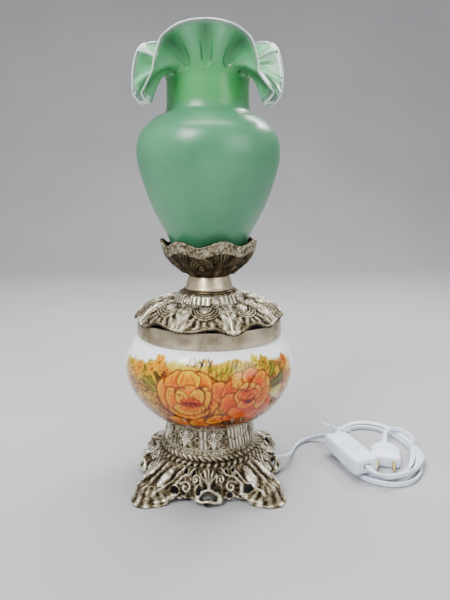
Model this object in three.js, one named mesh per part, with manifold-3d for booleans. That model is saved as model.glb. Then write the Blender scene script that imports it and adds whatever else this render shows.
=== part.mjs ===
// An electric table lamp in the form of a Victorian oil lamp, in millimetres, +Z up.
// The origin is on the lamp's axis, on the surface that the lamp stands on. -Y is the front.
// From the floor up: a pierced cast foot with four toes, a cast drum, a painted porcelain bowl,
// a brass band, a cast crown, a reeded ring, a neck sleeve, a leafy cup and a ruffled glass shade.
// A threaded tube through the middle clamps them together and carries the wire to the lampholder.

import * as THREE from "three";
import Module from "manifold-3d";
import { mergeVertices } from "three/addons/utils/BufferGeometryUtils.js";

const wasm = await Module();
wasm.setup();

// Driving dimensions.
const GAP = 0.3; // between pieces that rest on each other
const ROUND = 36; // sides of a large round piece
const SMALL_ROUND = 20; // sides of a small round piece
const DEG = Math.PI / 180;

const FOOT = { top: 38, deck: 4, wall: 4, neck: 56, side: 71, toe: 35, scroll: 8, lift: 4, hole: 5 };
const ROD = { radius: 5, bore: 3.6, bottom: 22, top: 256 };
const HOLE = ROD.radius + GAP; // clearance hole for the threaded tube
const DRUM = { bottom: FOOT.top + GAP, top: 74, wall: 4 };
const BOWL = { bottom: DRUM.top + GAP, mouth: 180, mouthRadius: 76, wall: 4 };
const BAND = { bottom: 170.6, top: 188, radius: 80.4 };
const CROWN = { bottom: BAND.top + GAP, deck: 203, lobes: 10, skirt: 82, wave: 4, wall: 3 };
const REEDED = { bottom: CROWN.deck + GAP, top: 216.5, low: 38, high: 33 };
const NECK = { ring: 219.5, top: 234.2, low: 26.8, high: 22.3 };
const CUP = {
  bottom: NECK.top + GAP, seat: 250.3, rim: 271.5, wave: 3.5, lobes: 7, radius: 51.4, phase: 154.5 * DEG,
};
const SHADE = { bottom: CUP.seat + GAP, wall: 3, neck: 42.7, neckTop: 432, lobes: 3 };
const HOLDER = { bottom: 247, split: 262, top: 298, radius: 14 };
const BULB = { tip: 274.3, cap: 275.9, collar: 293, centre: 331, radius: 22.5, capRadius: 6.85 };
const CORD = { radius: 3 };
const EXIT = { x: 74.3, z: 17 }; // where the lead leaves the foot, on the +X side
const COIL = { x: 207, y: 40, a: 55, b: 82, inA: 36, inB: 62, low: 1.4, high: 9.4 };
const SWITCH = { x: 167, y: 8, turn: -72, length: 74, width: 30, height: 18, split: 9, well: 9.8 };
const SWITCH_FLOOR = COIL.high + GAP;
const ROCKER = { radius: 9.2, tilt: 7, axis: 14.2 };
const PLUG = { x: 214, y: 24, turn: -105, length: 42, width: 36, height: 15, floor: 0.4, nozzle: 20 };
const PIN = { radius: 2, length: 19, spacing: 19 };

const COLOUR = {
  casting: { color: 0x9a8c6a, roughness: 0.42, metalness: 0.9 },
  brass: { color: 0x8f7d5a, roughness: 0.35, metalness: 0.95 },
  steel: { color: 0x9a9a98, roughness: 0.35, metalness: 0.95 },
  porcelain: { color: 0xf1f0ea, roughness: 0.12, metalness: 0 },
  greenGlass: { color: 0x6fbf8c, roughness: 0.45, metalness: 0 },
  bulbGlass: { color: 0xf4f2ea, roughness: 0.3, metalness: 0 },
  bakelite: { color: 0x1a1715, roughness: 0.3, metalness: 0 },
  ceramic: { color: 0xe6e2d6, roughness: 0.4, metalness: 0 },
  cord: { color: 0xdfe3e6, roughness: 0.25, metalness: 0 },
  whitePlastic: { color: 0xeef2f4, roughness: 0.3, metalness: 0 },
};

const lamp = new THREE.Group();

function add(name, geometry, finish, parent = lamp) {
  const mesh = new THREE.Mesh(geometry, new THREE.MeshStandardMaterial(COLOUR[finish]));
  mesh.name = name;
  parent.add(mesh);
  return mesh;
}

// Solids and geometry, for booleans.

function indexed(geometry) {
  const bare = geometry.clone();
  bare.deleteAttribute("normal");
  bare.deleteAttribute("uv");
  return mergeVertices(bare, 1e-3);
}

function solid(geometry) {
  const merged = indexed(geometry);
  return new wasm.Manifold(
    new wasm.Mesh({
      numProp: 3,
      vertProperties: merged.attributes.position.array,
      triVerts: new Uint32Array(merged.index.array),
    }),
  );
}

function fromSolid(manifold) {
  const mesh = manifold.getMesh();
  const geometry = new THREE.BufferGeometry();
  geometry.setAttribute("position", new THREE.BufferAttribute(mesh.vertProperties, 3));
  geometry.setIndex(new THREE.BufferAttribute(mesh.triVerts, 1));
  geometry.computeVertexNormals();
  return geometry;
}

function cut(geometry, ...tools) {
  return fromSolid(tools.reduce((body, tool) => body.subtract(solid(tool)), solid(geometry)));
}

function join(...geometries) {
  return fromSolid(geometries.map(solid).reduce((body, piece) => body.add(piece)));
}

// Primitive shapes, all with +Z up.

function disc(radius, low, high, sides = SMALL_ROUND) {
  return new THREE.CylinderGeometry(radius, radius, high - low, sides)
    .rotateX(Math.PI / 2)
    .translate(0, 0, (low + high) / 2);
}

function rodAlongX(radius, from, to, y, z, sides = 12) {
  return new THREE.CylinderGeometry(radius, radius, to - from, sides)
    .rotateZ(-Math.PI / 2)
    .translate((from + to) / 2, y, z);
}

function block(x0, x1, y0, y1, z0, z1) {
  return new THREE.BoxGeometry(x1 - x0, y1 - y0, z1 - z0)
    .translate((x0 + x1) / 2, (y0 + y1) / 2, (z0 + z1) / 2);
}

// Turns a closed outline of [radius, height] points, listed anticlockwise, about the Z axis.
function turned(outline, sides = ROUND) {
  const points = [...outline, outline[0]].map(([r, z]) => new THREE.Vector2(r, z));
  return new THREE.LatheGeometry(points, sides).rotateX(Math.PI / 2);
}

function washer(inner, outer, low, high, sides = SMALL_ROUND) {
  return turned([[inner, low], [outer, low], [outer, high], [inner, high]], sides);
}

function hexNut(inner, acrossCorners, low, high) {
  return cut(disc(acrossCorners / 2, low, high, 6), disc(inner, low - 1, high + 1));
}

// A smooth run of points through a few given ones.
function smooth(points, count) {
  return new THREE.SplineCurve(points.map(([x, y]) => new THREE.Vector2(x, y)))
    .getPoints(count)
    .map((p) => [p.x, p.y]);
}

// An outer wall going up, and the same wall moved in by its thickness coming down.
function shellOutline(outer, wall) {
  const inner = outer.map(([r, z], i) => {
    const [r0, z0] = outer[Math.max(i - 1, 0)];
    const [r1, z1] = outer[Math.min(i + 1, outer.length - 1)];
    const length = Math.hypot(r1 - r0, z1 - z0);
    return [r - (wall * (z1 - z0)) / length, z + (wall * (r1 - r0)) / length];
  });
  return { inner, closed: [...outer, ...inner.reverse()] };
}

// A closed skin over rings that all have the same number of points; the last ring joins the first.
function ringSkin(rings) {
  const count = rings[0].length;
  const position = rings.flat().flatMap((p) => [p.x, p.y, p.z]);
  const index = [];
  rings.forEach((_, i) => {
    const below = i * count;
    const above = ((i + 1) % rings.length) * count;
    for (let j = 0; j < count; j += 1) {
      const k = (j + 1) % count;
      index.push(below + j, below + k, above + k, below + j, above + k, above + j);
    }
  });
  const geometry = new THREE.BufferGeometry();
  geometry.setAttribute("position", new THREE.Float32BufferAttribute(position, 3));
  geometry.setIndex(index);
  geometry.computeVertexNormals();
  return geometry;
}

// One ring of points; radius and height are functions of the angle.
function ring(sides, radius, height) {
  return Array.from({ length: sides }, (_, i) => {
    const angle = (i / sides) * 2 * Math.PI;
    const r = radius(angle);
    return new THREE.Vector3(r * Math.cos(angle), r * Math.sin(angle), height(angle));
  });
}

const always = (value) => () => value;

// A round tube along a curve in space.
function tube(curve, radius, steps, sides = 8) {
  const section = new THREE.Shape(
    Array.from({ length: sides }, (_, i) => {
      const angle = (i / sides) * 2 * Math.PI;
      return new THREE.Vector2(radius * Math.cos(angle), radius * Math.sin(angle));
    }),
  );
  return new THREE.ExtrudeGeometry(section, { steps, bevelEnabled: false, extrudePath: curve });
}

function curveThrough(points) {
  return new THREE.CatmullRomCurve3(points.map((p) => new THREE.Vector3(...p)));
}

// The cast foot: round at the top, square with four toes at the bottom, hollow from below.

// The toes are at the corners, and a scroll stands out in the middle of each side.
function footSpread(angle) {
  return FOOT.side + FOOT.toe * Math.sin(2 * angle) ** 6 + FOOT.scroll * Math.cos(2 * angle) ** 10;
}

function footRing(share, z, inset) {
  const radius = (angle) => FOOT.neck + (footSpread(angle) - FOOT.neck) * share - inset;
  return ring(48, radius, always(z));
}

function footGeometry() {
  // [share of the way from the round top to the square bottom, height]
  const levels = [[1, 0], [1, 8], [0.9, 14], [0.62, 20], [0.34, 26], [0.12, 32], [0, FOOT.top]];
  const outer = levels.map(([share, z]) => footRing(share, z, 0));
  const underDeck = FOOT.top - FOOT.deck;
  const inner = levels
    .slice(0, -2)
    .map(([share, z]) => footRing(share, z, FOOT.wall))
    .reverse();
  const bore = [
    ring(48, always(HOLE), always(FOOT.top)),
    ring(48, always(HOLE), always(underDeck)),
    ring(48, always(FOOT.neck - FOOT.wall), always(underDeck - 1)),
  ];
  const tools = [];
  for (let side = 0; side < 4; side += 1) {
    const turn = side * 90 * DEG;
    for (const offset of [-22, 22]) {
      tools.push(rodAlongX(FOOT.hole, 45, 90, offset, 16).rotateZ(turn));
    }
    tools.push(block(55, 110, -46, 46, -1, FOOT.lift).rotateZ(turn));
  }
  tools.push(rodAlongX(HOLE, 40, 100, 0, EXIT.z)); // the bush's hole, and a seat for its flange
  tools.push(rodAlongX(7.2, EXIT.x - 3.6, 100, 0, EXIT.z, SMALL_ROUND));
  return cut(ringSkin([...outer, ...bore, ...inner]), ...tools);
}

add("foot_casting", footGeometry(), "casting");
add(
  "cord_bush",
  turned([[3.1, 0], [5, 0], [5, 15], [6.6, 15], [6.6, 18], [3.1, 18]], SMALL_ROUND)
    .rotateY(Math.PI / 2)
    .translate(EXIT.x - GAP - 18, 0, EXIT.z),
  "bakelite",
);

// The clamping hardware on the threaded tube.
add("threaded_tube", washer(ROD.bore, ROD.radius, ROD.bottom, ROD.top), "steel");
add("foot_washer", washer(HOLE, 14, 31.4, FOOT.top - FOOT.deck - GAP), "steel");
add("foot_nut", hexNut(HOLE, 18, 24.6, 31.1), "steel");
const bowlFloor = BOWL.bottom + BOWL.wall + GAP;
add("bowl_floor_washer", washer(HOLE, 22, bowlFloor, bowlFloor + 2), "steel");
add("mouth_disc", washer(HOLE, 75.6, BOWL.mouth + GAP, BOWL.mouth + 2.3, ROUND), "steel");
add("cup_washer", washer(HOLE, 12, 237.8, 239.8), "brass");
add("cup_nut", hexNut(HOLE, 18, 240.1, 246), "brass");

// The cast drum, with a rope ring round its lower edge.
const drumOutline = [
  [49, DRUM.bottom], [54.4, DRUM.bottom], [55.4, 41.2], [54.2, 44.2], [52, 45.4],
  [50.4, 56], [48, 67], [47.2, DRUM.top], [HOLE, DRUM.top], [HOLE, DRUM.top - DRUM.wall],
  [43.4, DRUM.top - DRUM.wall], [46.6, 56],
];
add("drum_casting", turned(drumOutline), "casting");

// The porcelain bowl, open at the mouth, with a hole in its floor for the threaded tube.
const bowlWall = smooth(
  [[44, BOWL.bottom], [57, 76.8], [75.4, 91], [89.6, 113.4], [94.4, 136], [88.4, 157], [79.6, 168.6]],
  13,
);
bowlWall.push([BOWL.mouthRadius, 169.9], [BOWL.mouthRadius, BOWL.mouth]);
const bowlShell = shellOutline(bowlWall, BOWL.wall);
const bowlInside = bowlShell.inner.filter(([, z]) => z > BOWL.bottom + BOWL.wall + 1 && z < 179);
const bowlOutline = [
  [8, BOWL.bottom], ...bowlWall,
  [BOWL.mouthRadius - BOWL.wall, BOWL.mouth],
  ...bowlInside,
  [40, BOWL.bottom + BOWL.wall], [8, BOWL.bottom + BOWL.wall],
];
add("porcelain_bowl", turned(bowlOutline), "porcelain");

// The plain band round the bowl's mouth.
const bandInner = BOWL.mouthRadius + GAP;
const bandOutline = [
  [bandInner, BAND.bottom], [BAND.radius, BAND.bottom], [BAND.radius - 0.2, 177],
  [BAND.radius - 1.2, BAND.top], [bandInner, BAND.top],
];
add("mouth_band", turned(bandOutline), "brass");

// The cast crown: a dome with a wavy skirt that stands on the band.
function crownGeometry() {
  const sides = 40;
  const wave = (angle) => Math.cos(CROWN.lobes * angle);
  const skirt = ring(
    sides,
    (angle) => CROWN.skirt + 1.8 * wave(angle),
    (angle) => CROWN.bottom + 1.6 - CROWN.wave * wave(angle),
  );
  const skirtUnder = ring(
    sides,
    (angle) => CROWN.skirt - 0.6 + 1.8 * wave(angle),
    (angle) => CROWN.bottom - 0.6 - CROWN.wave * wave(angle),
  );
  const dome = smooth(
    [[77.6, 192.6], [72, 198], [62, 205], [50, 209.6], [43, 209.6], [39.4, CROWN.deck]], 7,
  );
  const under = [
    [HOLE, CROWN.deck], [HOLE, CROWN.deck - CROWN.wall], [43, CROWN.deck - CROWN.wall],
    [60, 201], [70, 194.6], [74, CROWN.bottom], [79.4, CROWN.bottom],
  ];
  const level = ([r, z]) => ring(sides, always(r), always(z));
  return ringSkin([skirt, ...dome.map(level), ...under.map(level), skirtUnder]);
}
add("crown_casting", crownGeometry(), "casting");

// The reeded ring and the plain neck above the crown.
const reededOutline = [
  [34, REEDED.bottom], [REEDED.low, REEDED.bottom], [REEDED.low - 0.6, 207], [34.4, 214],
  [REEDED.high - 1, REEDED.top], [HOLE, REEDED.top], [HOLE, REEDED.top - 3], [29, REEDED.top - 3],
];
add("reeded_ring", turned(reededOutline), "casting");
const neckRingOutline = [
  [HOLE, REEDED.top + GAP], [29, REEDED.top + GAP], [29.6, 218.2], [28.4, NECK.ring],
  [HOLE, NECK.ring],
];
add("neck_ring", turned(neckRingOutline), "brass");
const sleeveOutline = [
  [NECK.low - 2, NECK.ring + GAP], [NECK.low, NECK.ring + GAP], [NECK.high, NECK.top],
  [NECK.high - 2, NECK.top],
];
add("neck_sleeve", turned(sleeveOutline), "brass");

// The cast cup that the shade stands in, with a seat inside and a wavy rim.
function cupGeometry() {
  const sides = 42;
  const rimHeight = (angle) => CUP.rim + CUP.wave * Math.cos(CUP.lobes * angle + CUP.phase);
  const level = ([r, z]) => ring(sides, always(r), always(z));
  const outer = smooth(
    [[21.5, CUP.bottom], [30.8, 240.4], [40, 247.4], [48, 257], [51, 265]], 6,
  ).map(level);
  const rim = ring(sides, always(CUP.radius), rimHeight);
  const rimInside = ring(sides, always(CUP.radius - 2.4), rimHeight);
  const inner = [[48.2, 264], [44.6, 256], [41.6, CUP.seat], [28, CUP.seat], [26, 243]].map(level);
  const deck = CUP.bottom + 3;
  const bore = [[20, deck], [HOLE, deck], [HOLE, CUP.bottom]].map(level);
  return ringSkin([...outer, rim, rimInside, ...inner, ...bore]);
}
add("shade_cup", cupGeometry(), "casting");

// The glass shade: a tapered belly, a straight neck and a flared rim ruffled into three lobes.
// Each lobe's crest stands up, and the rim droops between them.
function ruffle(turn, share) {
  const n = SHADE.lobes;
  const crest = Math.cos(n * turn);
  const angle = turn + 0.17 * Math.sin(n * turn) * share;
  const edge = new THREE.Vector2(
    70.7 - 4.5 * crest - 6.3 * Math.cos(2 * n * turn),
    443 + 35 * crest,
  );
  const start = new THREE.Vector2(SHADE.neck, SHADE.neckTop);
  const up = new THREE.Vector2(SHADE.neck, SHADE.neckTop + 14 + 3 * crest);
  const over = new THREE.Vector2(56 - 5 * crest, 452 + 12 * crest);
  const p = new THREE.CubicBezierCurve(start, up, over, edge).getPoint(share);
  return new THREE.Vector3(p.x * Math.cos(angle), p.x * Math.sin(angle), p.y);
}

function shadeGeometry() {
  const sides = 48;
  const front = -90 * DEG; // a crest faces the front
  const belly = smooth(
    [
      [35, SHADE.bottom], [43.6, 275], [60, 308], [71.6, 341], [75.5, 364], [71, 382.6],
      [57, 397], [45.4, 403], [SHADE.neck, 412],
    ],
    11,
  );
  const turns = Array.from({ length: sides }, (_, i) => (i / sides) * 2 * Math.PI);
  const rings = belly.map(([r, z]) =>
    turns.map((t) => new THREE.Vector3(r * Math.cos(t + front), r * Math.sin(t + front), z)),
  );
  for (const share of [0, 0.3, 0.65, 1]) {
    rings.push(
      turns.map((t) => ruffle(t, share).applyAxisAngle(new THREE.Vector3(0, 0, 1), front)),
    );
  }
  const inside = rings.map((points, i) => {
    const lower = rings[Math.max(i - 1, 0)];
    const upper = rings[Math.min(i + 1, rings.length - 1)];
    return points.map((p, j) => {
      const along = new THREE.Vector3().subVectors(upper[j], lower[j]);
      const next = points[(j + 1) % sides];
      const before = points[(j + sides - 1) % sides];
      const round = new THREE.Vector3().subVectors(next, before);
      const inward = new THREE.Vector3().crossVectors(along, round).normalize();
      return p.clone().addScaledVector(inward, SHADE.wall);
    });
  });
  inside[0].forEach((p) => p.setZ(SHADE.bottom));
  return ringSkin([...rings, ...inside.reverse()]);
}
add("glass_shade", shadeGeometry(), "greenGlass");

// The small-thread lampholder on the end of the threaded tube.
const holderBaseOutline = [
  [HOLE, HOLDER.bottom], [11.5, HOLDER.bottom], [13, 250], [HOLDER.radius, HOLDER.split],
  [11.6, HOLDER.split], [10.6, 251.5], [HOLE, 251.5],
];
add("holder_base", turned(holderBaseOutline, SMALL_ROUND), "bakelite");
const holderSplit = HOLDER.split + GAP;
add("holder_shell", washer(12.4, HOLDER.radius, holderSplit, HOLDER.top), "bakelite");
add("holder_insulator", disc(12, holderSplit, 271.6), "ceramic");
add("holder_thread", washer(7.2, 8, 272, 292), "brass");
add("holder_contact", disc(3.2, 272, BULB.tip - GAP), "brass");

// The lamp bulb: contact tip, screw cap and frosted globe.
const bulbTip = turned(
  [[0, BULB.tip], [1.6, BULB.tip], [3.4, BULB.cap - GAP], [0, BULB.cap - GAP]], SMALL_ROUND,
);
add("bulb_tip", bulbTip, "bakelite");
add("bulb_cap", disc(BULB.capRadius, BULB.cap, BULB.collar), "brass");
const globe = smooth(
  [
    [7.2, BULB.collar + GAP], [9.4, 300], [16, 311], [BULB.radius, BULB.centre],
    [17, BULB.centre + 15], [7, BULB.centre + 21.6],
  ],
  10,
);
const globeOutline = [[0, BULB.collar + GAP], ...globe, [0, BULB.centre + BULB.radius]];
add("bulb_globe", turned(globeOutline, SMALL_ROUND), "bulbGlass");

// The wire inside the lamp: through the bush, down, and up the threaded tube to the lampholder.
function innerWire() {
  const path = new THREE.CurvePath();
  const at = (x, z) => new THREE.Vector3(x, 0, z);
  const rise = ROD.bottom - 1;
  path.add(new THREE.LineCurve3(at(EXIT.x - GAP, EXIT.z), at(50, EXIT.z)));
  path.add(
    new THREE.CubicBezierCurve3(at(50, EXIT.z), at(25, EXIT.z), at(0, -2), at(0, rise)),
  );
  path.add(new THREE.LineCurve3(at(0, rise), at(0, HOLDER.split)));
  return tube(path, CORD.radius - 0.4, 28);
}
add("inner_wire", innerWire(), "cord");

// The lead from the foot to the switch on the cord.
const leadRoute = [
  [EXIT.x, 0, EXIT.z], [80, 0, EXIT.z], [86, 1.2, 16.8], [91.5, 5, 16], [95.5, 11, 14.6], [98, 19, 12],
  [100, 28, 8.8], [102.3, 38, 5.6], [105.5, 48, 3.8], [110, 57.5, 3.3], [116.5, 66, 3.3],
  [125, 72.5, 3.6], [134.5, 74.6, 5.2], [143, 71.5, 8.8], [149, 64.6, 13.4], [152.2, 56.2, 17.2],
  [153.6, 49.4, 18.8], [154.45, 46.65, 18.9], [155.44, 43.6, 18.9],
];
add("cord_lead", tube(curveThrough(leadRoute), CORD.radius, 32), "cord");

// The switch on the cord: two shells held by two screws, with a round rocker in the upper one.
const switchGroup = new THREE.Group();
switchGroup.position.set(SWITCH.x, SWITCH.y, SWITCH_FLOOR);
switchGroup.rotation.z = SWITCH.turn * DEG;
lamp.add(switchGroup);

function switchBlock(inset, low, high) {
  const x = SWITCH.length / 2 - inset;
  const y = SWITCH.width / 2 - inset;
  return block(-x, x, -y, y, low, high);
}

const wellDisc = disc(SWITCH.well, 10, 30, 24);
const SWITCH_SHELL = 2;
const screwSpot = [[-26, 9], [26, -9]];
const lowerShell = cut(
  switchBlock(0, 0, SWITCH.split),
  switchBlock(SWITCH_SHELL, SWITCH_SHELL, SWITCH.split + 1),
  ...screwSpot.map(([x, y]) => disc(2.2, -1, 5, 12).translate(x, y, 0)),
);
add("switch_lower_shell", lowerShell, "whitePlastic", switchGroup);
const upperShell = cut(
  switchBlock(0, SWITCH.split + GAP, SWITCH.height),
  switchBlock(SWITCH_SHELL, SWITCH.split - 1, SWITCH.height - SWITCH_SHELL - 1),
  wellDisc,
);
add("switch_upper_shell", upperShell, "whitePlastic", switchGroup);
const rocker = add(
  "switch_rocker",
  disc(ROCKER.radius, -1.6, 3.4, 24),
  "whitePlastic",
  switchGroup,
);
rocker.position.z = ROCKER.axis;
rocker.rotation.y = -ROCKER.tilt * DEG;
screwSpot.forEach(([x, y], i) => {
  const screw = join(disc(1.9, 0.3, 2.3, 12), disc(1.2, 2, 8.6, 12)).translate(x, y, 0);
  add(`switch_screw_${i + 1}`, screw, "steel", switchGroup);
});
add("switch_contact_left", block(-24, -7, -4, 4, 3, 4), "brass", switchGroup);
add("switch_contact_right", block(7, 24, -4, 4, 3, 4), "brass", switchGroup);
add("switch_bridge", block(-6, 6, -3, 3, 5, 6), "brass", switchGroup);

// The cord from the switch into the coil, the coil, and the tail that lies over it to the plug.
const coilInRoute = [
  [178.56, -27.6, 18.9], [179.55, -30.65, 18.9], [181.6, -35.6, 18.2], [185.6, -39.4, 16.8],
  [191.6, -41, 15], [199, -40.4, 13.4], [209, -37.2, 12.7], [219.9, -33.2, 12.7],
  [232, -25.6, 12.7], [242.7, -14.1, 12.7],
];
add("cord_to_coil", tube(curveThrough(coilInRoute), CORD.radius, 22), "cord");

function ovalRing(a, b, inA, inB, low, high) {
  const outline = new THREE.Shape().absellipse(0, 0, a, b, 0, 2 * Math.PI);
  outline.holes.push(new THREE.Path().absellipse(0, 0, inA, inB, 0, 2 * Math.PI));
  return new THREE.ExtrudeGeometry(outline, {
    depth: high - low, bevelEnabled: false, curveSegments: 24,
  }).translate(0, 0, low);
}
const coilGeometry = ovalRing(COIL.a, COIL.b, COIL.inA, COIL.inB, COIL.low, COIL.high);
add("cord_coil", coilGeometry.translate(COIL.x, COIL.y, 0), "cord");

const overCoil = COIL.high + GAP + CORD.radius;
const tailRoute = [
  [254.5, 46, overCoil], [257.2, 56, overCoil], [256.8, 67, overCoil], [252.8, 77.5, overCoil],
  [245.4, 84, overCoil], [237, 84.2, 12.6], [231, 79.8, 12], [228, 73.6, 9.9], [226.1, 68.8, 8.3],
  [224.79, 64.28, 7.9],
];
add("cord_tail", tube(curveThrough(tailRoute), CORD.radius, 24), "cord");

// A wire tie round the coil.
function tieGeometry() {
  const half = 12.6;
  const thick = 1;
  const low = COIL.low - GAP - thick;
  const high = COIL.high + GAP + thick;
  return cut(
    block(-half, half, -1.2, 1.2, low, high),
    block(-half + thick, half - thick, -2, 2, low + thick, high - thick),
  );
}
const tie = add("coil_tie", tieGeometry(), "whitePlastic");
tie.rotation.z = -33 * DEG;
tie.position.set(COIL.x - 31.8, COIL.y + 51.5, 0);

// The two-pin plug, lying inside the coil.
const plugGroup = new THREE.Group();
plugGroup.position.set(PLUG.x, PLUG.y, PLUG.floor + PLUG.height / 2);
plugGroup.rotation.z = PLUG.turn * DEG;
lamp.add(plugGroup);

function plugBodyGeometry() {
  const x = PLUG.length / 2;
  const y = PLUG.width / 2;
  const outline = new THREE.Shape();
  outline.moveTo(-x, -6);
  outline.lineTo(-x + 15, -y);
  outline.lineTo(x - 3, -y);
  outline.lineTo(x, -y + 3);
  outline.lineTo(x, y - 3);
  outline.lineTo(x - 3, y);
  outline.lineTo(-x + 15, y);
  outline.lineTo(-x, 6);
  return new THREE.ExtrudeGeometry(outline, { depth: PLUG.height, bevelEnabled: false })
    .translate(0, 0, -PLUG.height / 2);
}
add("plug_body", plugBodyGeometry(), "whitePlastic", plugGroup);
const plugBack = -PLUG.length / 2;
const nozzle = new THREE.CylinderGeometry(4.8, 3.5, PLUG.nozzle, 12)
  .rotateZ(-Math.PI / 2)
  .translate(plugBack - GAP - PLUG.nozzle / 2, 0, 0);
add("plug_nozzle", nozzle, "whitePlastic", plugGroup);
for (const [name, side] of [["plug_pin_left", 1], ["plug_pin_right", -1]]) {
  const from = PLUG.length / 2 + GAP;
  const pin = rodAlongX(PIN.radius, from, from + PIN.length, (side * PIN.spacing) / 2, 0);
  add(name, pin, "brass", plugGroup);
}

export default lamp;
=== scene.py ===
"""An electric table lamp in the form of a Victorian oil lamp, on its CAD frame.

The lamp's shapes are worked out in millimetres and become metres when their mesh is made. The
camera, the floor and the lights are in metres. An angle round the lamp is 0 at the front, which is
-Y, and positive towards +X, where the lead leaves the foot.
"""

import math

import bmesh
import bpy
import numpy as np
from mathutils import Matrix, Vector


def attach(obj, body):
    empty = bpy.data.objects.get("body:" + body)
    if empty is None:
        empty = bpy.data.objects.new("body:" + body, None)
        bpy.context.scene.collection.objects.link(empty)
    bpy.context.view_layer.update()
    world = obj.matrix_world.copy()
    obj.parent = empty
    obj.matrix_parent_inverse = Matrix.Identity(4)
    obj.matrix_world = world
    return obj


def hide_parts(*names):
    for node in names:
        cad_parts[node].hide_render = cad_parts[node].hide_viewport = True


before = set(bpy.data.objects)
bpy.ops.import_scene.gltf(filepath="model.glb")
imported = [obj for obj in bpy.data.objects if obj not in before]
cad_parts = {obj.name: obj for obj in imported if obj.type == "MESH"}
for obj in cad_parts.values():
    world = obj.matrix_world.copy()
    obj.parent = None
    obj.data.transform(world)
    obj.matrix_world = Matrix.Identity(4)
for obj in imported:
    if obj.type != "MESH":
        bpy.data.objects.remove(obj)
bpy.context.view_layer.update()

MM = 0.001
TAU = 2 * math.pi


# ---------------------------------------------------------------- small numeric helpers

def srgb(red, green, blue):
    """A colour given as 0 to 255 on a screen, as the linear numbers that shaders take."""
    def linear(value):
        value /= 255
        return value / 12.92 if value <= 0.04045 else ((value + 0.055) / 1.055) ** 2.4
    return (linear(red), linear(green), linear(blue), 1.0)


def smoothstep(low, high, value):
    t = np.clip((value - low) / (high - low), 0, 1)
    return t * t * (3 - 2 * t)


def noise(points, seed):
    """Smooth noise from -1 to 1 at each point, one feature per unit."""
    cell = np.floor(points).astype(np.int64)
    share = points - cell
    share = share * share * (3 - 2 * share)
    total = np.zeros(points.shape[:-1])
    for corner in np.ndindex(2, 2, 2):
        key = cell + np.array(corner)
        mixed = (key[..., 0] * 73856093) ^ (key[..., 1] * 19349663) ^ (key[..., 2] * 83492791)
        mixed = (mixed + seed * 2654435761) & 0x7FFFFFFF
        mixed = ((mixed ^ (mixed >> 13)) * 1274126177) & 0x7FFFFFFF
        value = ((mixed ^ (mixed >> 16)) & 0xFFFF) / 32767.5 - 1
        weight = np.ones(points.shape[:-1])
        for axis in range(3):
            weight = weight * (share[..., axis] if corner[axis] else 1 - share[..., axis])
        total += weight * value
    return total


def rough_noise(points, seed):
    return sum(noise(points * 2 ** k, seed + k) / 2 ** k for k in range(3))


def run_along(path):
    """How far along a path each of its points is."""
    return np.concatenate([[0], np.cumsum(np.linalg.norm(np.diff(path, axis=0), axis=1))])


def spaced(path, distances):
    """The points of a path at some distances along it."""
    run = run_along(path)
    return np.stack([np.interp(distances, run, column) for column in path.T], 1)


def through(points, count):
    """A smooth run of count points through the given ones (Catmull-Rom, evenly spaced)."""
    p = np.array(points, float)
    p = np.vstack([2 * p[0] - p[1], p, 2 * p[-1] - p[-2]])
    fine = [
        0.5 * (2 * b + (c - a) * t + (2 * a - 5 * b + 4 * c - d) * t * t
               + (3 * b - a - 3 * c + d) * t ** 3)
        for a, b, c, d in zip(p, p[1:], p[2:], p[3:])
        for t in np.linspace(0, 1, 24, endpoint=False)
    ]
    fine = np.array(fine + [p[-2]])
    return spaced(fine, np.linspace(0, run_along(fine)[-1], count))


def to_line(x, y, points):
    """Distance from each (x, y) to a run of straight pieces."""
    best = np.full(np.broadcast(x, y).shape, 1e9)
    points = np.array(points, float)
    for (ax, ay), (bx, by) in zip(points, points[1:]):
        dx, dy = bx - ax, by - ay
        t = np.clip(((x - ax) * dx + (y - ay) * dy) / (dx * dx + dy * dy + 1e-9), 0, 1)
        best = np.minimum(best, np.hypot(x - ax - t * dx, y - ay - t * dy))
    return best


def ridge(distance, width):
    return np.exp(-(distance / width) ** 2)


def in_oval(x, y, cx, cy, rx, ry, turn):
    """Each point as seen from an oval: (0, 0) at its middle, and 1 away at its edge."""
    c, s = math.cos(turn), math.sin(turn)
    return ((x - cx) * c + (y - cy) * s) / rx, (-(x - cx) * s + (y - cy) * c) / ry


def dome(x, y, cx, cy, rx, ry, turn=0.0):
    """A rounded boss: 1 in its middle, 0 at its edge and outside."""
    u, v = in_oval(x, y, cx, cy, rx, ry, turn)
    return np.sqrt(np.clip(1 - u * u - v * v, 0, 1))


def circle(count, radius=1.0):
    angles = np.arange(count) / count * TAU
    return radius * np.stack([np.cos(angles), np.sin(angles)], 1)


def spiral(cx, cy, outer, inner, turns, start, flip=1):
    t = np.linspace(0, 1, 26)
    r = outer + (inner - outer) * t ** 0.8
    a = start + flip * turns * TAU * t
    return np.stack([cx + r * np.cos(a), cy + r * np.sin(a)], 1)


# ---------------------------------------------------------------- meshes

def new_object(name, data):
    made = bpy.data.objects.new(name, data)
    bpy.context.scene.collection.objects.link(made)
    return made


def mesh_object(name, points, faces, finish, body):
    mesh = bpy.data.meshes.new(name)
    mesh.from_pydata((np.asarray(points) * MM).tolist(), [], faces)
    mesh.polygons.foreach_set("use_smooth", [True] * len(mesh.polygons))
    mesh.materials.append(finish)
    mesh.update()
    piece = new_object(name, mesh)
    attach(piece, body)
    return piece


def show(piece, slot, *nodes):
    """Hides the CAD nodes that a piece is shown instead of. slot is not used."""
    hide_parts(*nodes)
    return piece


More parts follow.
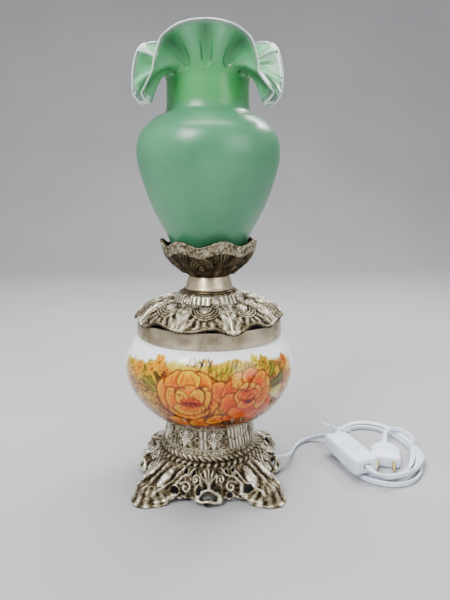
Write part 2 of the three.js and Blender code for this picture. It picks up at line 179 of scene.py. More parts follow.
def grid_faces(rows, columns, wrap_rows, keep=None):
    """Quads over a grid of points whose columns close on themselves."""
    faces = []
    for i in range(rows if wrap_rows else rows - 1):
        a, b = i * columns, ((i + 1) % rows) * columns
        for j in range(columns):
            k = (j + 1) % columns
            if keep is None or keep[i, j]:
                faces.append((a + j, a + k, b + k, b + j))
    return faces


def round_point(radius, angle, height):
    """Points at a radius, an angle from the front and a height."""
    return np.stack(
        np.broadcast_arrays(radius * np.sin(angle), -radius * np.cos(angle), height), -1
    )


def grid_normals(points):
    """Unit normals of a grid that goes up a wall: they face outwards."""
    along = np.gradient(points, axis=0)
    across = (np.roll(points, -1, 1) - np.roll(points, 1, 1)) / 2
    normal = np.cross(across, along)
    return normal / np.maximum(np.linalg.norm(normal, axis=-1, keepdims=True), 1e-9)


def store(piece, attribute, values, kind="FLOAT", field="value"):
    layer = piece.data.attributes.new(attribute, kind, "POINT")
    layer.data.foreach_set(field, np.asarray(values, np.float32).ravel())


def lathe(name, outline, finish, sides):
    """A closed outline of (radius, height) points, turned about the axis."""
    angles = np.arange(sides) / sides * TAU
    points = round_point(outline[:, :1], angles[None], outline[:, 1:])
    faces = grid_faces(len(outline), sides, True)
    piece = mesh_object(name, points.reshape(-1, 3), faces, finish, "lamp")
    sharpen(piece)
    return piece


def sharpen(piece):
    """Keeps the edges crisp where two smooth faces meet at a sharp angle."""
    sharpest_smooth = math.radians(35)
    work = bmesh.new()
    work.from_mesh(piece.data)
    bmesh.ops.remove_doubles(work, verts=work.verts, dist=1e-7)
    bmesh.ops.recalc_face_normals(work, faces=work.faces)
    for edge in work.edges:
        if len(edge.link_faces) == 2:
            edge.smooth = edge.calc_face_angle(0) < sharpest_smooth
    work.to_mesh(piece.data)
    work.free()


def rounded_outline(corners, radius, steps=4, most=0.45):
    """A closed outline with its corners cut round, each by at most a share of its two sides."""
    corners = np.array(corners, float)
    made = []
    for i, corner in enumerate(corners):
        before, after = corners[i - 1] - corner, corners[(i + 1) % len(corners)] - corner
        reach = min(radius, np.linalg.norm(before) * most, np.linalg.norm(after) * most)
        a = corner + before / np.linalg.norm(before) * reach
        b = corner + after / np.linalg.norm(after) * reach
        for t in np.linspace(0, 1, steps):
            made.append((1 - t) ** 2 * a + 2 * t * (1 - t) * corner + t * t * b)
    return np.array(made)


def box_corners(across, up):
    return [(-across, -up), (across, -up), (across, up), (-across, up)]


def rounded_loop(corners, radius, count):
    """Evenly spaced points round a polygon whose corners are rounded."""
    dense = rounded_outline(corners, radius, 9, 0.48)
    dense = np.vstack([dense, dense[:1]])
    return spaced(dense, np.arange(count) / count * run_along(dense)[-1])


# ---------------------------------------------------------------- materials

class Finish:
    """A material under construction. Most methods add a node and return its output."""

    def __init__(self, name, **settings):
        self.material = bpy.data.materials.new(name)
        self.material.use_nodes = True
        self.tree = self.material.node_tree
        self.shader = self.tree.nodes["Principled BSDF"]
        for socket, value in settings.items():
            self.shader.inputs[socket.replace("_", " ")].default_value = value
        self.place = self.add("TexCoord", {}).outputs["Object"]

    def add(self, kind, inputs):
        """A new node. Each input is linked to another node's output or given its own value."""
        node = self.tree.nodes.new("ShaderNode" + kind)
        self.feed(node, inputs)
        return node

    def feed(self, node, inputs):
        for socket, value in inputs.items():
            if isinstance(value, bpy.types.NodeSocket):
                self.tree.links.new(value, node.inputs[socket])
            else:
                node.inputs[socket].default_value = value

    def noise(self, scale, detail, stretch=None, distortion=0.0):
        place = self.place
        if stretch:
            place = self.add("Mapping", {"Vector": place, "Scale": stretch}).outputs["Vector"]
        inputs = {"Vector": place, "Scale": scale, "Detail": detail, "Distortion": distortion}
        return self.add("TexNoise", inputs).outputs["Fac"]

    def attribute(self, name, output="Fac"):
        node = self.add("Attribute", {})
        node.attribute_name = name
        return node.outputs[output]

    def maths(self, operation, a, b):
        node = self.add("Math", {0: a, 1: b})
        node.operation = operation
        return node.outputs[0]

    def ramp(self, value, *stops):
        node = self.add("ValToRGB", {"Fac": value})
        for element, (position, colour) in zip(node.color_ramp.elements, stops):
            element.position, element.color = position, colour
        for position, colour in stops[2:]:
            node.color_ramp.elements.new(position).color = colour
        return node.outputs["Color"]

    def span(self, value, *limits):
        """Maps a value from one range (limits 1 and 2) to another (limits 3 and 4)."""
        return self.add("MapRange", dict(enumerate((value, *limits)))).outputs[0]

    def mix(self, share, a, b, blend="MIX"):
        node = self.add("Mix", {})
        node.data_type, node.blend_type = "RGBA", blend
        self.feed(node, {0: share, 6: a, 7: b})
        return node.outputs[2]

    def bump(self, height, strength, distance):
        inputs = {"Height": height, "Strength": strength, "Distance": distance * MM}
        self.set("Normal", self.add("Bump", inputs).outputs["Normal"])

    def set(self, socket, value):
        self.tree.links.new(value, self.shader.inputs[socket])


def antique_casting(name, high, middle, low, recess):
    """Cast brass with a dark patina left in its recesses, rubbed pale on its highs."""
    f = Finish(name, Metallic=0.85)
    level = f.attribute("relief")
    grain = f.noise(900, 2)
    patch = f.noise(70, 3)
    level = f.maths("ADD", level, f.span(grain, 0.3, 0.7, -0.07, 0.07))
    level = f.maths("ADD", level, f.span(patch, 0.3, 0.7, -0.1, 0.1))
    f.set("Base Color", f.ramp(level, (0.12, recess), (0.36, low), (0.6, middle), (0.85, high)))
    f.set("Roughness", f.span(level, 0.1, 0.9, 0.62, 0.36))
    f.bump(f.maths("ADD", grain, f.noise(2400, 1)), 0.35, 0.25)
    return f.material


casting = antique_casting(
    "antique_casting", srgb(222, 217, 198), srgb(166, 157, 132), srgb(96, 83, 60), srgb(32, 24, 15)
)


def plain_brass(name, pale, brown, dark):
    """Spun brass with a brown lacquer, mottled and finely brushed round its axis."""
    f = Finish(name, Metallic=0.9)
    patch = f.noise(38, 5, distortion=0.6)
    speck = f.noise(420, 3)
    colour = f.ramp(patch, (0.34, brown), (0.62, pale))
    colour = f.mix(f.span(speck, 0.58, 0.72, 0.0, 0.45), colour, dark)
    f.set("Base Color", colour)
    f.set("Roughness", f.span(f.noise(90, 4), 0.3, 0.7, 0.26, 0.42))
    f.bump(f.noise(260, 2, stretch=(0.06, 0.06, 9.0)), 0.12, 0.2)
    return f.material


band_brass = plain_brass(
    "band_brass", srgb(212, 200, 172), srgb(138, 118, 88), srgb(84, 66, 42)
)
neck_brass = plain_brass(
    "neck_brass", srgb(226, 210, 180), srgb(196, 176, 142), srgb(130, 110, 80)
)
dark_brass = plain_brass(
    "dark_brass", srgb(120, 104, 76), srgb(70, 56, 36), srgb(34, 26, 16)
)


def plain_metal(name, colour, roughness):
    f = Finish(name, Metallic=0.95)
    cloud = f.noise(160, 3)
    f.set("Base Color", f.mix(f.span(cloud, 0.35, 0.65, 0.0, 0.3), colour, srgb(70, 66, 58)))
    f.set("Roughness", f.span(cloud, 0.3, 0.7, roughness - 0.06, roughness + 0.1))
    f.bump(f.noise(700, 2), 0.1, 0.1)
    return f.material


steel = plain_metal("steel", srgb(176, 176, 172), 0.32)
fitting_brass = plain_metal("fitting_brass", srgb(196, 166, 104), 0.3)


def moulded(name, colour, other, roughness, grain=1200, depth=0.05, **more):
    """A moulded plastic: faintly clouded, with the fine skin that a mould leaves."""
    f = Finish(name, **more)
    f.set("Base Color", f.mix(f.span(f.noise(60, 3), 0.35, 0.65, 0.0, 1.0), colour, other))
    f.set("Roughness", f.span(f.noise(140, 3), 0.3, 0.7, roughness - 0.05, roughness + 0.08))
    f.bump(f.noise(grain, 2), 0.15, depth)
    return f.material


white_plastic = moulded(
    "white_plastic", srgb(232, 240, 251), srgb(220, 230, 244), 0.34, IOR=1.48,
    Subsurface_Weight=0.08,
)
white_plastic.node_tree.nodes["Principled BSDF"].inputs["Subsurface Radius"].default_value = (
    0.004, 0.004, 0.004
)
cord_pvc = moulded("cord_pvc", srgb(224, 231, 242), srgb(206, 214, 228), 0.22, 500, 0.04, IOR=1.5)
bakelite = moulded("bakelite", srgb(28, 24, 21), srgb(40, 34, 29), 0.28)
ceramic = moulded("ceramic", srgb(232, 226, 212), srgb(216, 208, 192), 0.5)


# ---------------------------------------------------------------- camera

camera = new_object("camera", bpy.data.cameras.new("camera"))
bpy.context.scene.camera = camera
camera.data.lens = 33
camera.data.sensor_width = 36
camera.data.clip_start = 0.01
camera.location = (0.0175, -0.6, 0.3275)
camera.rotation_euler = (math.radians(78.5), 0, 0)


# ---------------------------------------------------------------- cord, switch, plug and tie

CORD_WIDTH, CORD_THICK = 6.0, 3.3
SWITCH_AT, SWITCH_TURN = (167.0, 8.0, 9.7), math.radians(-72)
PLUG_AT, PLUG_TURN = (214.0, 24.0, 7.9), math.radians(-105)
COIL_X, COIL_Y = 207.0, 40.0
SWITCH_LONG, SWITCH_WIDE = 37, 15  # half of each


def placed(points, at, turn):
    """Points of a piece in its own frame, turned about the vertical and moved to its place."""
    points = np.asarray(points, float)
    c, s = math.cos(turn), math.sin(turn)
    x = points[..., 0] * c - points[..., 1] * s
    y = points[..., 0] * s + points[..., 1] * c
    return np.stack([x, y, points[..., 2]], -1) + np.array(at)


def twin_section():
    """Outline of flat twin cord: two round cores in one jacket, with a groove between them."""
    lobe, apart = CORD_THICK / 2, (CORD_WIDTH - CORD_THICK) / 2
    angles = np.radians(np.linspace(-118, 118, 9))
    right = np.stack([apart + lobe * np.cos(angles), lobe * np.sin(angles)], 1)
    return np.vstack([right, -right])


def oval_section(wide, thick, count):
    return circle(count) * (wide / 2, thick / 2)


def sweep(name, path, tilt, finish, section, size=1.0):
    """A section drawn along a path. tilt is the angle of its wide side from level, at each point."""
    path = np.asarray(path)
    along = np.gradient(path, axis=0)
    along /= np.linalg.norm(along, axis=1, keepdims=True)
    side = np.cross(along, np.array([0.0, 0, 1]))
    side /= np.maximum(np.linalg.norm(side, axis=1, keepdims=True), 1e-6)
    upward = np.cross(side, along)
    tilt = np.broadcast_to(tilt, len(path))
    c, s = np.cos(tilt)[:, None], np.sin(tilt)[:, None]
    wide, thin = side * c + upward * s, upward * c - side * s
    across = section[None] * np.broadcast_to(size, len(path))[:, None, None]
    rings = path[:, None] + across[..., :1] * wide[:, None] + across[..., 1:] * thin[:, None]
    return skin(name, rings, finish)


def skin(name, rings, finish, body="lamp", crisp=True):
    """A closed skin over rings of points, with a flat end on the first ring and the last."""
    rings = np.asarray(rings)
    rows, count = rings.shape[:2]
    points = np.vstack([rings.reshape(-1, 3), rings[:1].mean(1), rings[-1:].mean(1)])
    faces = grid_faces(rows, count, False)
    last, first_centre, last_centre = (rows - 1) * count, len(points) - 2, len(points) - 1
    for j in range(count):
        k = (j + 1) % count
        faces.append((k, j, first_centre))
        faces.append((last + j, last + k, last_centre))
    piece = mesh_object(name, points, faces, finish, body)
    if crisp:
        sharpen(piece)
    return piece


LEAD_ROUTE = [
    (74.3, 0, 17), (80, 0, 17), (86, 1.2, 16.8), (91.5, 5, 16), (95.5, 11, 14.6), (98, 19, 12),
    (100, 28, 8.8), (102.3, 38, 5.6), (105.5, 48, 3.8), (110, 57.5, 3.3), (116.5, 66, 3.3),
    (125, 72.5, 3.6), (134.5, 74.6, 5.2), (143, 71.5, 8.8), (149, 64.6, 13.4), (152.2, 56.2, 17.2),
    (153.6, 49.4, 18.8), (154.45, 46.65, 18.9), (155.44, 43.6, 18.9), (156.4, 40.7, 18.9),
]
COIL_IN_ROUTE = [
    (177.6, -24.7, 18.9), (178.56, -27.6, 18.9), (179.55, -30.65, 18.9), (181.6, -35.6, 18.2),
    (185.6, -39.4, 16.8), (191.6, -41, 15), (199, -40.4, 13.4), (209, -37.2, 12.7),
    (219.9, -33.2, 12.7), (232, -25.6, 12.7), (242.7, -14.1, 12.7),
]
TAIL_ROUTE = [
    (254.5, 46, 12.7), (257.2, 56, 12.7), (256.8, 67, 12.7), (252.8, 77.5, 12.7), (245.4, 84, 12.7),
    (237, 84.2, 12.6), (231, 79.8, 12), (228, 73.6, 9.9), (226.1, 68.8, 8.3), (224.79, 64.28, 7.9),
]
# The course of the coil: degrees round it from its right side, half width, height.
COIL_COURSE = [
    (-32, 51.5, 11.2), (-20, 52.6, 7.4), (-9, 53, 4.3), (0, 52.6, 3.3), (40, 52, 3.3), (90, 53.2, 3.3),
    (140, 52.2, 3.3), (180, 51.5, 3.3), (230, 52.6, 3.3), (270, 53, 3.3), (320, 52.4, 3.3),
    (345, 49.2, 3.3), (360, 46.8, 3.3), (400, 46, 3.3), (450, 47.6, 3.3), (500, 45.6, 3.3),
    (540, 46.8, 3.3), (600, 45.8, 3.3), (640, 46.8, 7.9), (690, 47, 7.9), (720, 47.6, 7.9),
    (760, 49.8, 7.9), (810, 50.6, 7.9), (850, 47.5, 7.9), (900, 49.5, 7.9), (950, 47.5, 7.4),
    (980, 43.5, 6), (1000, 41, 4.5), (1020, 40.3, 4), (1045, 40.3, 6), (1065, 40.8, 9.8),
    (1080, 43.5, 12.5),
]
COIL_OVAL = 0.66


def coil_points():
    """The turns of the coil, anticlockwise from its front right: two on the floor, one on them."""
    course = np.array(COIL_COURSE, float)
    degrees = np.arange(-32, 1081, 17.1)
    width, height = (np.interp(degrees, course[:, 0], course[:, k]) for k in (1, 2))
    for _ in range(2):
        for values in (width, height):
            values[1:-1] = 0.25 * values[:-2] + 0.5 * values[1:-1] + 0.25 * values[2:]
    angle = np.radians(degrees)
    x = COIL_X + width * np.cos(angle)
    y = COIL_Y + width / COIL_OVAL * np.sin(angle)
    return [tuple(point) for point in np.column_stack([x, y, height])]


def build_cords():
    lead_path = through(LEAD_ROUTE, 120)
    share = np.linspace(0, 1, len(lead_path))
    tilt = np.interp(share, [0, 0.08, 0.26, 0.5, 0.76, 0.92, 1], [0, 34, 84, 72, 80, 24, 0])
    lead = sweep("lead", lead_path, np.radians(tilt), cord_pvc, twin_section())
    show(lead, "cord_pvc", "cord_lead")

    main_path = through(COIL_IN_ROUTE + coil_points() + TAIL_ROUTE, 900)
    run = run_along(main_path)
    # On edge where it lies on the floor, flat where it lies on other turns, on edge in the tail.
    tilt = np.interp(main_path[:, 2], [3.3, 5.0, 7.4, 8.6, 12.0], [86, 60, 8, 14, 84])
    tilt = tilt + 12 * np.sin(run / 31) + 8 * np.sin(run / 17 + 1)
    tilt = np.where(run < 22, np.interp(run, [0, 8, 22], [0, 10, 1]), tilt)
    left = run[-1] - run
    tilt = np.where(left < 26, np.interp(left, [6, 26], [10, 70]), tilt)
    tilt = np.convolve(np.pad(tilt, 7, mode="edge"), np.ones(15) / 15, "valid")
    main = sweep("main_cord", main_path, np.radians(tilt), cord_pvc, twin_section())
    show(main, "cord_pvc", "cord_to_coil", "cord_coil", "cord_tail")
    return lead, lead_path, main, main_path


def level_rings(outline, *steps):
    """An outline, moved in by a distance and up to a height in each step."""
    along = np.roll(outline, -1, 0) - np.roll(outline, 1, 0)
    along /= np.linalg.norm(along, axis=1, keepdims=True)
    inward = np.stack([-along[:, 1], along[:, 0]], 1)
    count = len(outline)
    return [
        np.column_stack([
            outline + inward * np.broadcast_to(inset, count)[:, None], np.broadcast_to(height, count)
        ])
        for inset, height in steps
    ]


def round_rings(outline, *steps):
    """Circles of a radius and a height in each step, their points in the outline's directions."""
    angle = np.arctan2(outline[:, 1], outline[:, 0])
    return [
        np.column_stack([radius * np.cos(angle), radius * np.sin(angle), np.full(len(angle), height)])
        for radius, height in steps
    ]


def cut_out(piece, cutters):
    """Cuts other pieces' shapes out of a piece, and removes them."""
    for cutter in cutters:
        step = piece.modifiers.new("cut", "BOOLEAN")
        step.operation, step.object, step.solver = "DIFFERENCE", cutter, "EXACT"
    bpy.context.view_layer.update()
    shaped = bpy.data.meshes.new_from_object(
        piece.evaluated_get(bpy.context.evaluated_depsgraph_get())
    )
    piece.modifiers.clear()
    piece.data = shaped
    for cutter in cutters:
        bpy.data.objects.remove(cutter)
    sharpen(piece)


def in_switch(points):
    return placed(points, SWITCH_AT, SWITCH_TURN)


def in_plug(points):
    return placed(points, PLUG_AT, PLUG_TURN)


def cutter(rings):
    """A prism between two rings of points in the switch's own frame, to cut with."""
    points = in_switch(rings).reshape(-1, 3) * MM
    count = len(points) // 2
    faces = [(j, (j + 1) % count, count + (j + 1) % count, count + j) for j in range(count)]
    faces += [tuple(range(count))[::-1], tuple(range(count, 2 * count))]
    mesh = bpy.data.meshes.new("cutter")
    mesh.from_pydata(points.tolist(), [], faces)
    return new_object("cutter", mesh)


def cord_pockets():
    """The openings for the cord at the two ends of the switch."""
    outline = rounded_loop(box_corners(4.3, 3.0), 1.2, 24)
    return [
        cutter(np.array([
            np.column_stack([np.full(24, x), outline[:, 0], outline[:, 1] + 9.2])
            for x in (end * 31.0, end * 39.0)
        ]))
        for end in (-1, 1)
    ]


def screw_hole(x, y):
    outline = circle(20, 2.2) + (x, y)
    return cutter(np.array([np.column_stack([outline, np.full(20, z)]) for z in (-1.0, 3.0)]))


def build_switch():
    body = rounded_loop(box_corners(SWITCH_LONG, SWITCH_WIDE), 5.0, 144)
    lower = level_rings(
        body, (2.4, 0.0), (0.9, 0.3), (0.25, 1.2), (0.0, 2.4), (0.0, 8.6), (0.35, 9.0), (2.0, 9.0),
        (2.2, 2.4),
    )
    lower_shell = skin("switch_base", in_switch(lower), white_plastic)
    cut_out(lower_shell, cord_pockets() + [screw_hole(-26, 9), screw_hole(26, -9)])
    crown = 0.5 * (1 - (body[:, 0] / SWITCH_LONG) ** 2)
    upper = round_rings(body, (8.6, 9.8), (11.6, 9.8), (11.6, 15.4))
    upper += level_rings(
        body, (2.2, 14.6), (2.0, 9.3), (0.35, 9.3), (0.0, 9.7), (0.0, 13.6 + crown),
        (0.3, 15.2 + crown), (1.0, 16.5 + crown), (2.1, 17.3 + crown), (3.6, 17.6 + crown),
    )
    upper += round_rings(
        body, (11.6, 18.0), (10.9, 17.9), (10.5, 17.3), (10.1, 17.2), (9.8, 16.7), (9.8, 10.7)
    )
    upper_shell = skin("switch_cover", in_switch(upper), white_plastic)
    cut_out(upper_shell, cord_pockets())

    # The rocker: a round cap, dished towards its middle, tipped to one side.
    rings = np.array([
        np.column_stack([circle(56, radius), np.full(56, height)])
        for radius, height in (
            (8.4, -1.6), (9.1, -1.1), (9.2, -0.4), (9.2, 2.3), (9.0, 2.9), (8.5, 3.3), (7.8, 3.4),
            (6.4, 3.15), (4.4, 2.8), (2.2, 2.65), (0.8, 2.6),
        )
    ])
    c, s = math.cos(math.radians(-7)), math.sin(math.radians(-7))
    x, z = rings[..., 0] * c + rings[..., 2] * s, -rings[..., 0] * s + rings[..., 2] * c
    rings = np.stack([x, rings[..., 1], z + 14.2], -1)
    rocker = skin("rocker_cap", in_switch(rings), white_plastic, "rocker")
    return [
        show(lower_shell, "white_plastic", "switch_lower_shell"),
        show(upper_shell, "white_plastic", "switch_upper_shell"),
        show(rocker, "white_plastic", "switch_rocker"),
    ]


def tube_rings(steps, side=0.0, squash=1.0):
    """Rings of a rod along the plug's length: each step is a distance along it and a radius."""
    return [
        np.column_stack([np.full(28, along), circle(28, radius) * (1, squash) + (side, 0)])
        for along, radius in steps
    ]


def build_plug():
    body = rounded_loop(
        [(-21, -6), (-6, -18), (18, -18), (21, -15), (21, 15), (18, 18), (-6, 18), (-21, 6)], 4.5, 168
    )
    grip = 1.3 * ridge((body[:, 0] - 4) / 7, 1) * (np.abs(body[:, 1]) > 14)
    steps = (
        (3.0, -7.5), (1.3, -7.1), (0.4, -6.2), (0.0, -5.0), (0.0, -0.35), (0.45, -0.2), (0.45, 0.2),
        (0.0, 0.35), (0.0, 4.2), (0.35, 5.5), (1.2, 6.5), (2.6, 7.1),
    )
    rings = [np.column_stack([body * 0.35, np.full(168, -7.5)])]
    rings += level_rings(body, *((inset + grip, height) for inset, height in steps))
    rings += [
        np.column_stack([body * share, np.full(168, height)])
        for share, height in (
            (0.80, 7.25), (0.77, 6.75), (0.745, 6.75), (0.72, 7.35), (0.5, 7.5), (0.25, 7.5)
        )
    ]
    plug = skin("plug", in_plug(rings), white_plastic)

    # The strain relief tapers away from the plug, with a groove between each of its ribs.
    steps = []
    for share in np.linspace(0, 1, 41):
        groove = 0.55 * (math.cos(share * 6 * TAU) < -0.2) * (0.08 < share < 0.93)
        steps.append((-21.3 - 20 * share, 4.9 - 1.5 * share - groove))
    relief = skin("plug_strain_relief", in_plug(tube_rings(steps, squash=0.88)), white_plastic)
    made = [show(plug, "white_plastic", "plug_body"), show(relief, "white_plastic", "plug_nozzle")]
    steps = ((21.3, 2.0), (31.1, 2.0), (31.4, 1.85), (38.6, 1.85), (39.7, 1.6), (40.3, 1.0))
    for name, side in (("left", 9.5), ("right", -9.5)):
        pin = skin("pin_" + name, in_plug(tube_rings(steps, side)), fitting_brass)
        made.append(show(pin, "fitting_brass", "plug_pin_" + name))
    return made


def build_tie():
    """A wire tie: a flat strip round the coil, twisted once, with two free ends."""
    loop = rounded_loop([(-12, 0.7), (12, 0.7), (12, 10.2), (-12, 10.2)], 2.4, 72)
    at, turn = (175.2, 91.5, 0.0), math.radians(-33)
    path = placed(np.column_stack([loop[:, 0], 0.9 * circle(72)[:, 1], loop[:, 1]]), at, turn)
    # The strip's outline is worked out here because its loop has no upward side to hold to.
    outward = path - path.mean(0)
    outward /= np.linalg.norm(outward, axis=1, keepdims=True)
    along = np.roll(path, -1, 0) - np.roll(path, 1, 0)
    along /= np.linalg.norm(along, axis=1, keepdims=True)
    wide = np.cross(along, outward)[:, None]
    section = oval_section(2.3, 0.9, 12)[None]
    rings = path[:, None] + section[..., :1] * wide + section[..., 1:] * outward[:, None]
    strap = mesh_object("tie", rings.reshape(-1, 3), grid_faces(72, 12, True), white_plastic, "lamp")
    sharpen(strap)
    made = [show(strap, "white_plastic", "coil_tie")]
    knot = placed([(-12.6, 0, 8.6)], at, turn)[0]
    for name, ends in (
        ("long", [(-1.2, 0.5, 2.6), (-4.6, -0.6, 7.6), (-8.5, -2.6, 13), (-13.5, -3.4, 21.5)]),
        ("short", [(-2.6, 0.8, 1.0), (-6, 2.4, 1.8), (-10.5, 3.2, 2.6), (-15.5, 3.6, 4.4)]),
    ):
        path = through([knot] + [knot + np.array(p) for p in ends], 24)
        end = sweep("tie_end_" + name, path, 0.9, white_plastic, oval_section(3.4, 2.3, 12))
        made.append(end)
    return made


lead, lead_path, main_cord, main_path = build_cords()
switch_pieces = build_switch()
plug_pieces = build_plug()
tie_pieces = build_tie()
lead_sleeve = sweep(
    "lead_strain_relief", lead_path[-23:-3], np.radians(20), white_plastic,
    oval_section(7.4, 5.0, 20), np.linspace(0.8, 1.18, 20),
)


# ---------------------------------------------------------------- glass shade

PLEATS = 18
NECK_RADIUS, NECK_LOW, NECK_TOP = 42.7, 412, 432


def frosted_glass():
    """Acid-frosted green glass. A narrow band along its ruffled edge is left clear."""
    f = Finish("frosted_green_glass", IOR=1.5, Specular_IOR_Level=0.6)
    edge, rim, painted_shading = f.attribute("edge"), f.attribute("rim"), f.attribute("painted_shading")
    cloud = f.noise(14, 3)
    body = f.ramp(cloud, (0.35, srgb(78, 156, 112)), (0.65, srgb(98, 176, 128)))
    deep = f.mix(f.attribute("neck"), body, srgb(84, 186, 108))
    clear = f.mix(edge, deep, srgb(176, 204, 188))
    # Painted light and shade on the glass: paler on the pleats' ridges, darker in their pockets and along
    # the pocket outlines, and a painted shadow low down.
    pale = f.mix(f.span(painted_shading, 0.5, 0.0, 0.0, 0.7), clear, srgb(150, 222, 178))
    dark = f.mix(f.span(painted_shading, 0.5, 1.0, 0.0, 0.85), pale, srgb(28, 96, 56))
    # A painted highlight along the lip: it is coloured near-white and made less clear.
    f.set("Base Color", f.mix(rim, dark, srgb(236, 246, 240)))
    clearness = f.span(edge, 0.0, 1.0, 0.34, 0.8)
    f.set("Transmission Weight", f.maths("SUBTRACT", clearness, f.maths("MULTIPLY", rim, 0.5)))
    f.set("Roughness", f.span(edge, 0.0, 1.0, 0.31, 0.06))
    f.bump(f.maths("ADD", f.noise(1500, 2), f.noise(60, 2)), 0.12, 0.12)
    return f.material


def ruffle(turn, share):
    """A point of the flared rim: turn is measured from the front crest."""
    crest = (np.cos(3 * turn) - 0.12 * np.cos(9 * turn)) / 0.88
    controls = (
        (NECK_RADIUS, NECK_TOP), (NECK_RADIUS, NECK_TOP + 14 + 3 * crest),
        (56 - 5 * crest, 452 + 12 * crest),
        (70.7 - 4.5 * crest - 6.3 * np.cos(6 * turn), 443 + 35 * crest),
    )
    back = 1 - share
    weights = (back ** 3, 3 * share * back ** 2, 3 * share ** 2 * back, share ** 3)
    radius, height = (sum(w * c[k] for w, c in zip(weights, controls)) for k in (0, 1))
    return round_point(radius, turn + 0.17 * np.sin(3 * turn) * share, height)


def on_both_walls(outer):
    """What is stored for the outer wall, for the lip and for the inner wall on its way down."""
    return np.concatenate([outer, outer[-1:], outer[::-1]])


def build_shade():
    columns = PLEATS * 20
    turn = (np.arange(columns) / columns * TAU)[None]
    belly = through(
        [(35, 250.6), (43.6, 275), (60, 308), (71.6, 341), (75.5, 364), (71, 382.6), (57, 397),
         (45.4, 403), (NECK_RADIUS, NECK_LOW)], 64,
    )
    neck = np.stack([np.full(15, NECK_RADIUS), np.linspace(NECK_LOW, NECK_TOP, 16)[1:]], 1)
    profile = np.vstack([belly, neck])
    lower = round_point(profile[:, :1], turn, profile[:, 1:])
    share = np.linspace(0, 1, 45)[1:, None]
    outer = np.concatenate([lower, ruffle(turn, share)])
    along = np.concatenate([np.zeros(len(lower)), share[:, 0]])[:, None]
    normal = grid_normals(outer)
    # Each pleat starts in a round-ended pocket pressed into the flare, and runs out to the edge.
    phase = PLEATS * turn - np.sin(3 * turn)
    off = np.abs(np.mod(phase + math.pi, TAU) / math.pi - 1)  # 0 in a pocket, 1 on a ridge
    droop = 0.5 - 0.5 * np.cos(3 * turn)
    wander = 0.85 + 0.3 * np.sin(turn * 5 + 1.3) * np.sin(turn * 7 + 0.4)
    starts = 0.19 + 0.5 * off ** 2
    pocket = smoothstep(0, 0.035, along - starts) * smoothstep(0.5, 0.36, off)
    outline = 4 * pocket * (1 - pocket) * (1 - smoothstep(0.35, 0.7, along))
    pocket = pocket * (1 - smoothstep(0.5, 1.0, along))
    fold = (0.8 + 1.6 * droop) * smoothstep(0.22, 0.5, along)
    fold = fold + (1.8 + 2.8 * droop) * smoothstep(0.4, 1.0, along)
    outer = outer - normal * ((3.0 * pocket + fold * (1 - 2 * off)) * wander)[..., None]
    outer = outer + normal * (0.25 * noise(outer / 22, 5))[..., None] * (along < 0.1)[..., None]
    normal = grid_normals(outer)
    wall = 2.6 - 1.0 * smoothstep(0.1, 0.8, along)
    inner = outer - normal * wall[..., None]
    inner[0, :, 2] = outer[0, :, 2]
    # The cut edge is rounded over.
    lip = (outer[-1] + inner[-1]) / 2 + (outer[-1] - outer[-2]) * 0.35
    rings = np.concatenate([outer, lip[None], inner[::-1]])
    shade = mesh_object(
        "shade", rings.reshape(-1, 3), grid_faces(len(rings), columns, True),
        frosted_glass(), "shade",
    )
    # edge marks the clear band below the lip; rim marks the lip, where a highlight is painted.
    for attribute, low, high in (("edge", 0.925, 0.95), ("rim", 0.985, 1.0)):
        band = smoothstep(low, high, along) * np.ones_like(turn)
        store(shade, attribute, on_both_walls(band))
    # Painted light and shade along the pleats: darker in the pockets, paler on the ridges, less so
    # towards the edge. The pocket outlines are painted darker too.
    near_edge = smoothstep(0.85, 0.95, along)
    painted_shading = 0.5 + 0.5 * (1 - 2 * off) * np.minimum(fold / 3, 1) * (1 - 0.7 * near_edge)
    # A painted shadow of the holder inside: the glass is darkened low down, most in front.
    ahead = np.mod(turn + math.pi, TAU) - math.pi
    shadow = smoothstep(294, 266, outer[..., 2]) * (0.12 + 0.34 * ridge(ahead, 0.4))
    painted_shading = np.clip(painted_shading + 0.5 * outline + shadow, 0, 1)
    store(shade, "painted_shading", on_both_walls(painted_shading))
    on_neck = smoothstep(400, 418, outer[..., 2]) * (1 - 0.6 * along)
    store(shade, "neck", on_both_walls(on_neck))
    show(shade, "green_glass", "glass_shade")


build_shade()


# ---------------------------------------------------------------- castings

def relief_piece(name, node, base, relief, wall=None, keep=None, vines=4.0, wear=(1.0, 0.0)):
    """A casting from a grid of points going up its outside, raised along its normals by relief.

    With a wall the shell is closed by the same grid moved in; with holes it is thickened instead.
    vines is the size of the fine curling lines that fill its low parts; wear scales and lifts
    the polish of the surface.
    """
    normal = grid_normals(base)
    curls = ridge(noise(base / vines, 97), 0.13) + ridge(noise(base / vines, 98), 0.13)
    low, high = np.percentile(relief, (25, 75))
    relief = relief + 0.6 * np.minimum(curls, 1) * smoothstep(high, low - 0.05, relief)
    outer = base + normal * (relief + 0.16 * rough_noise(base / 2.2, 3))[..., None]
    low, high = np.percentile(relief, (6, 95))
    level = np.interp(relief, (low, high), (0.12, 0.92))
    # What stands above its surroundings is rubbed; what lies below them stays dark.
    nearby = sum(np.roll(relief, k, 1) for k in (-8, -4, 4, 8)) / 4
    level = level * 0.62 + 0.22 + 0.26 * (relief - nearby)
    level = np.clip(level * wear[0] + wear[1], 0, 1)
    points = outer
    if wall:
        points = np.concatenate([outer, (base - normal * wall)[::-1]])
        level = np.concatenate([level, level[::-1] * 0.3])
    faces = grid_faces(len(points), relief.shape[1], bool(wall), keep)
    piece = mesh_object(name, points.reshape(-1, 3), faces, casting, "lamp")
    store(piece, "relief", level)
    if not wall:
        thick = piece.modifiers.new("wall", "SOLIDIFY")
        thick.thickness, thick.offset = 2.2 * MM, -1
    return show(piece, "cast_brass", node)


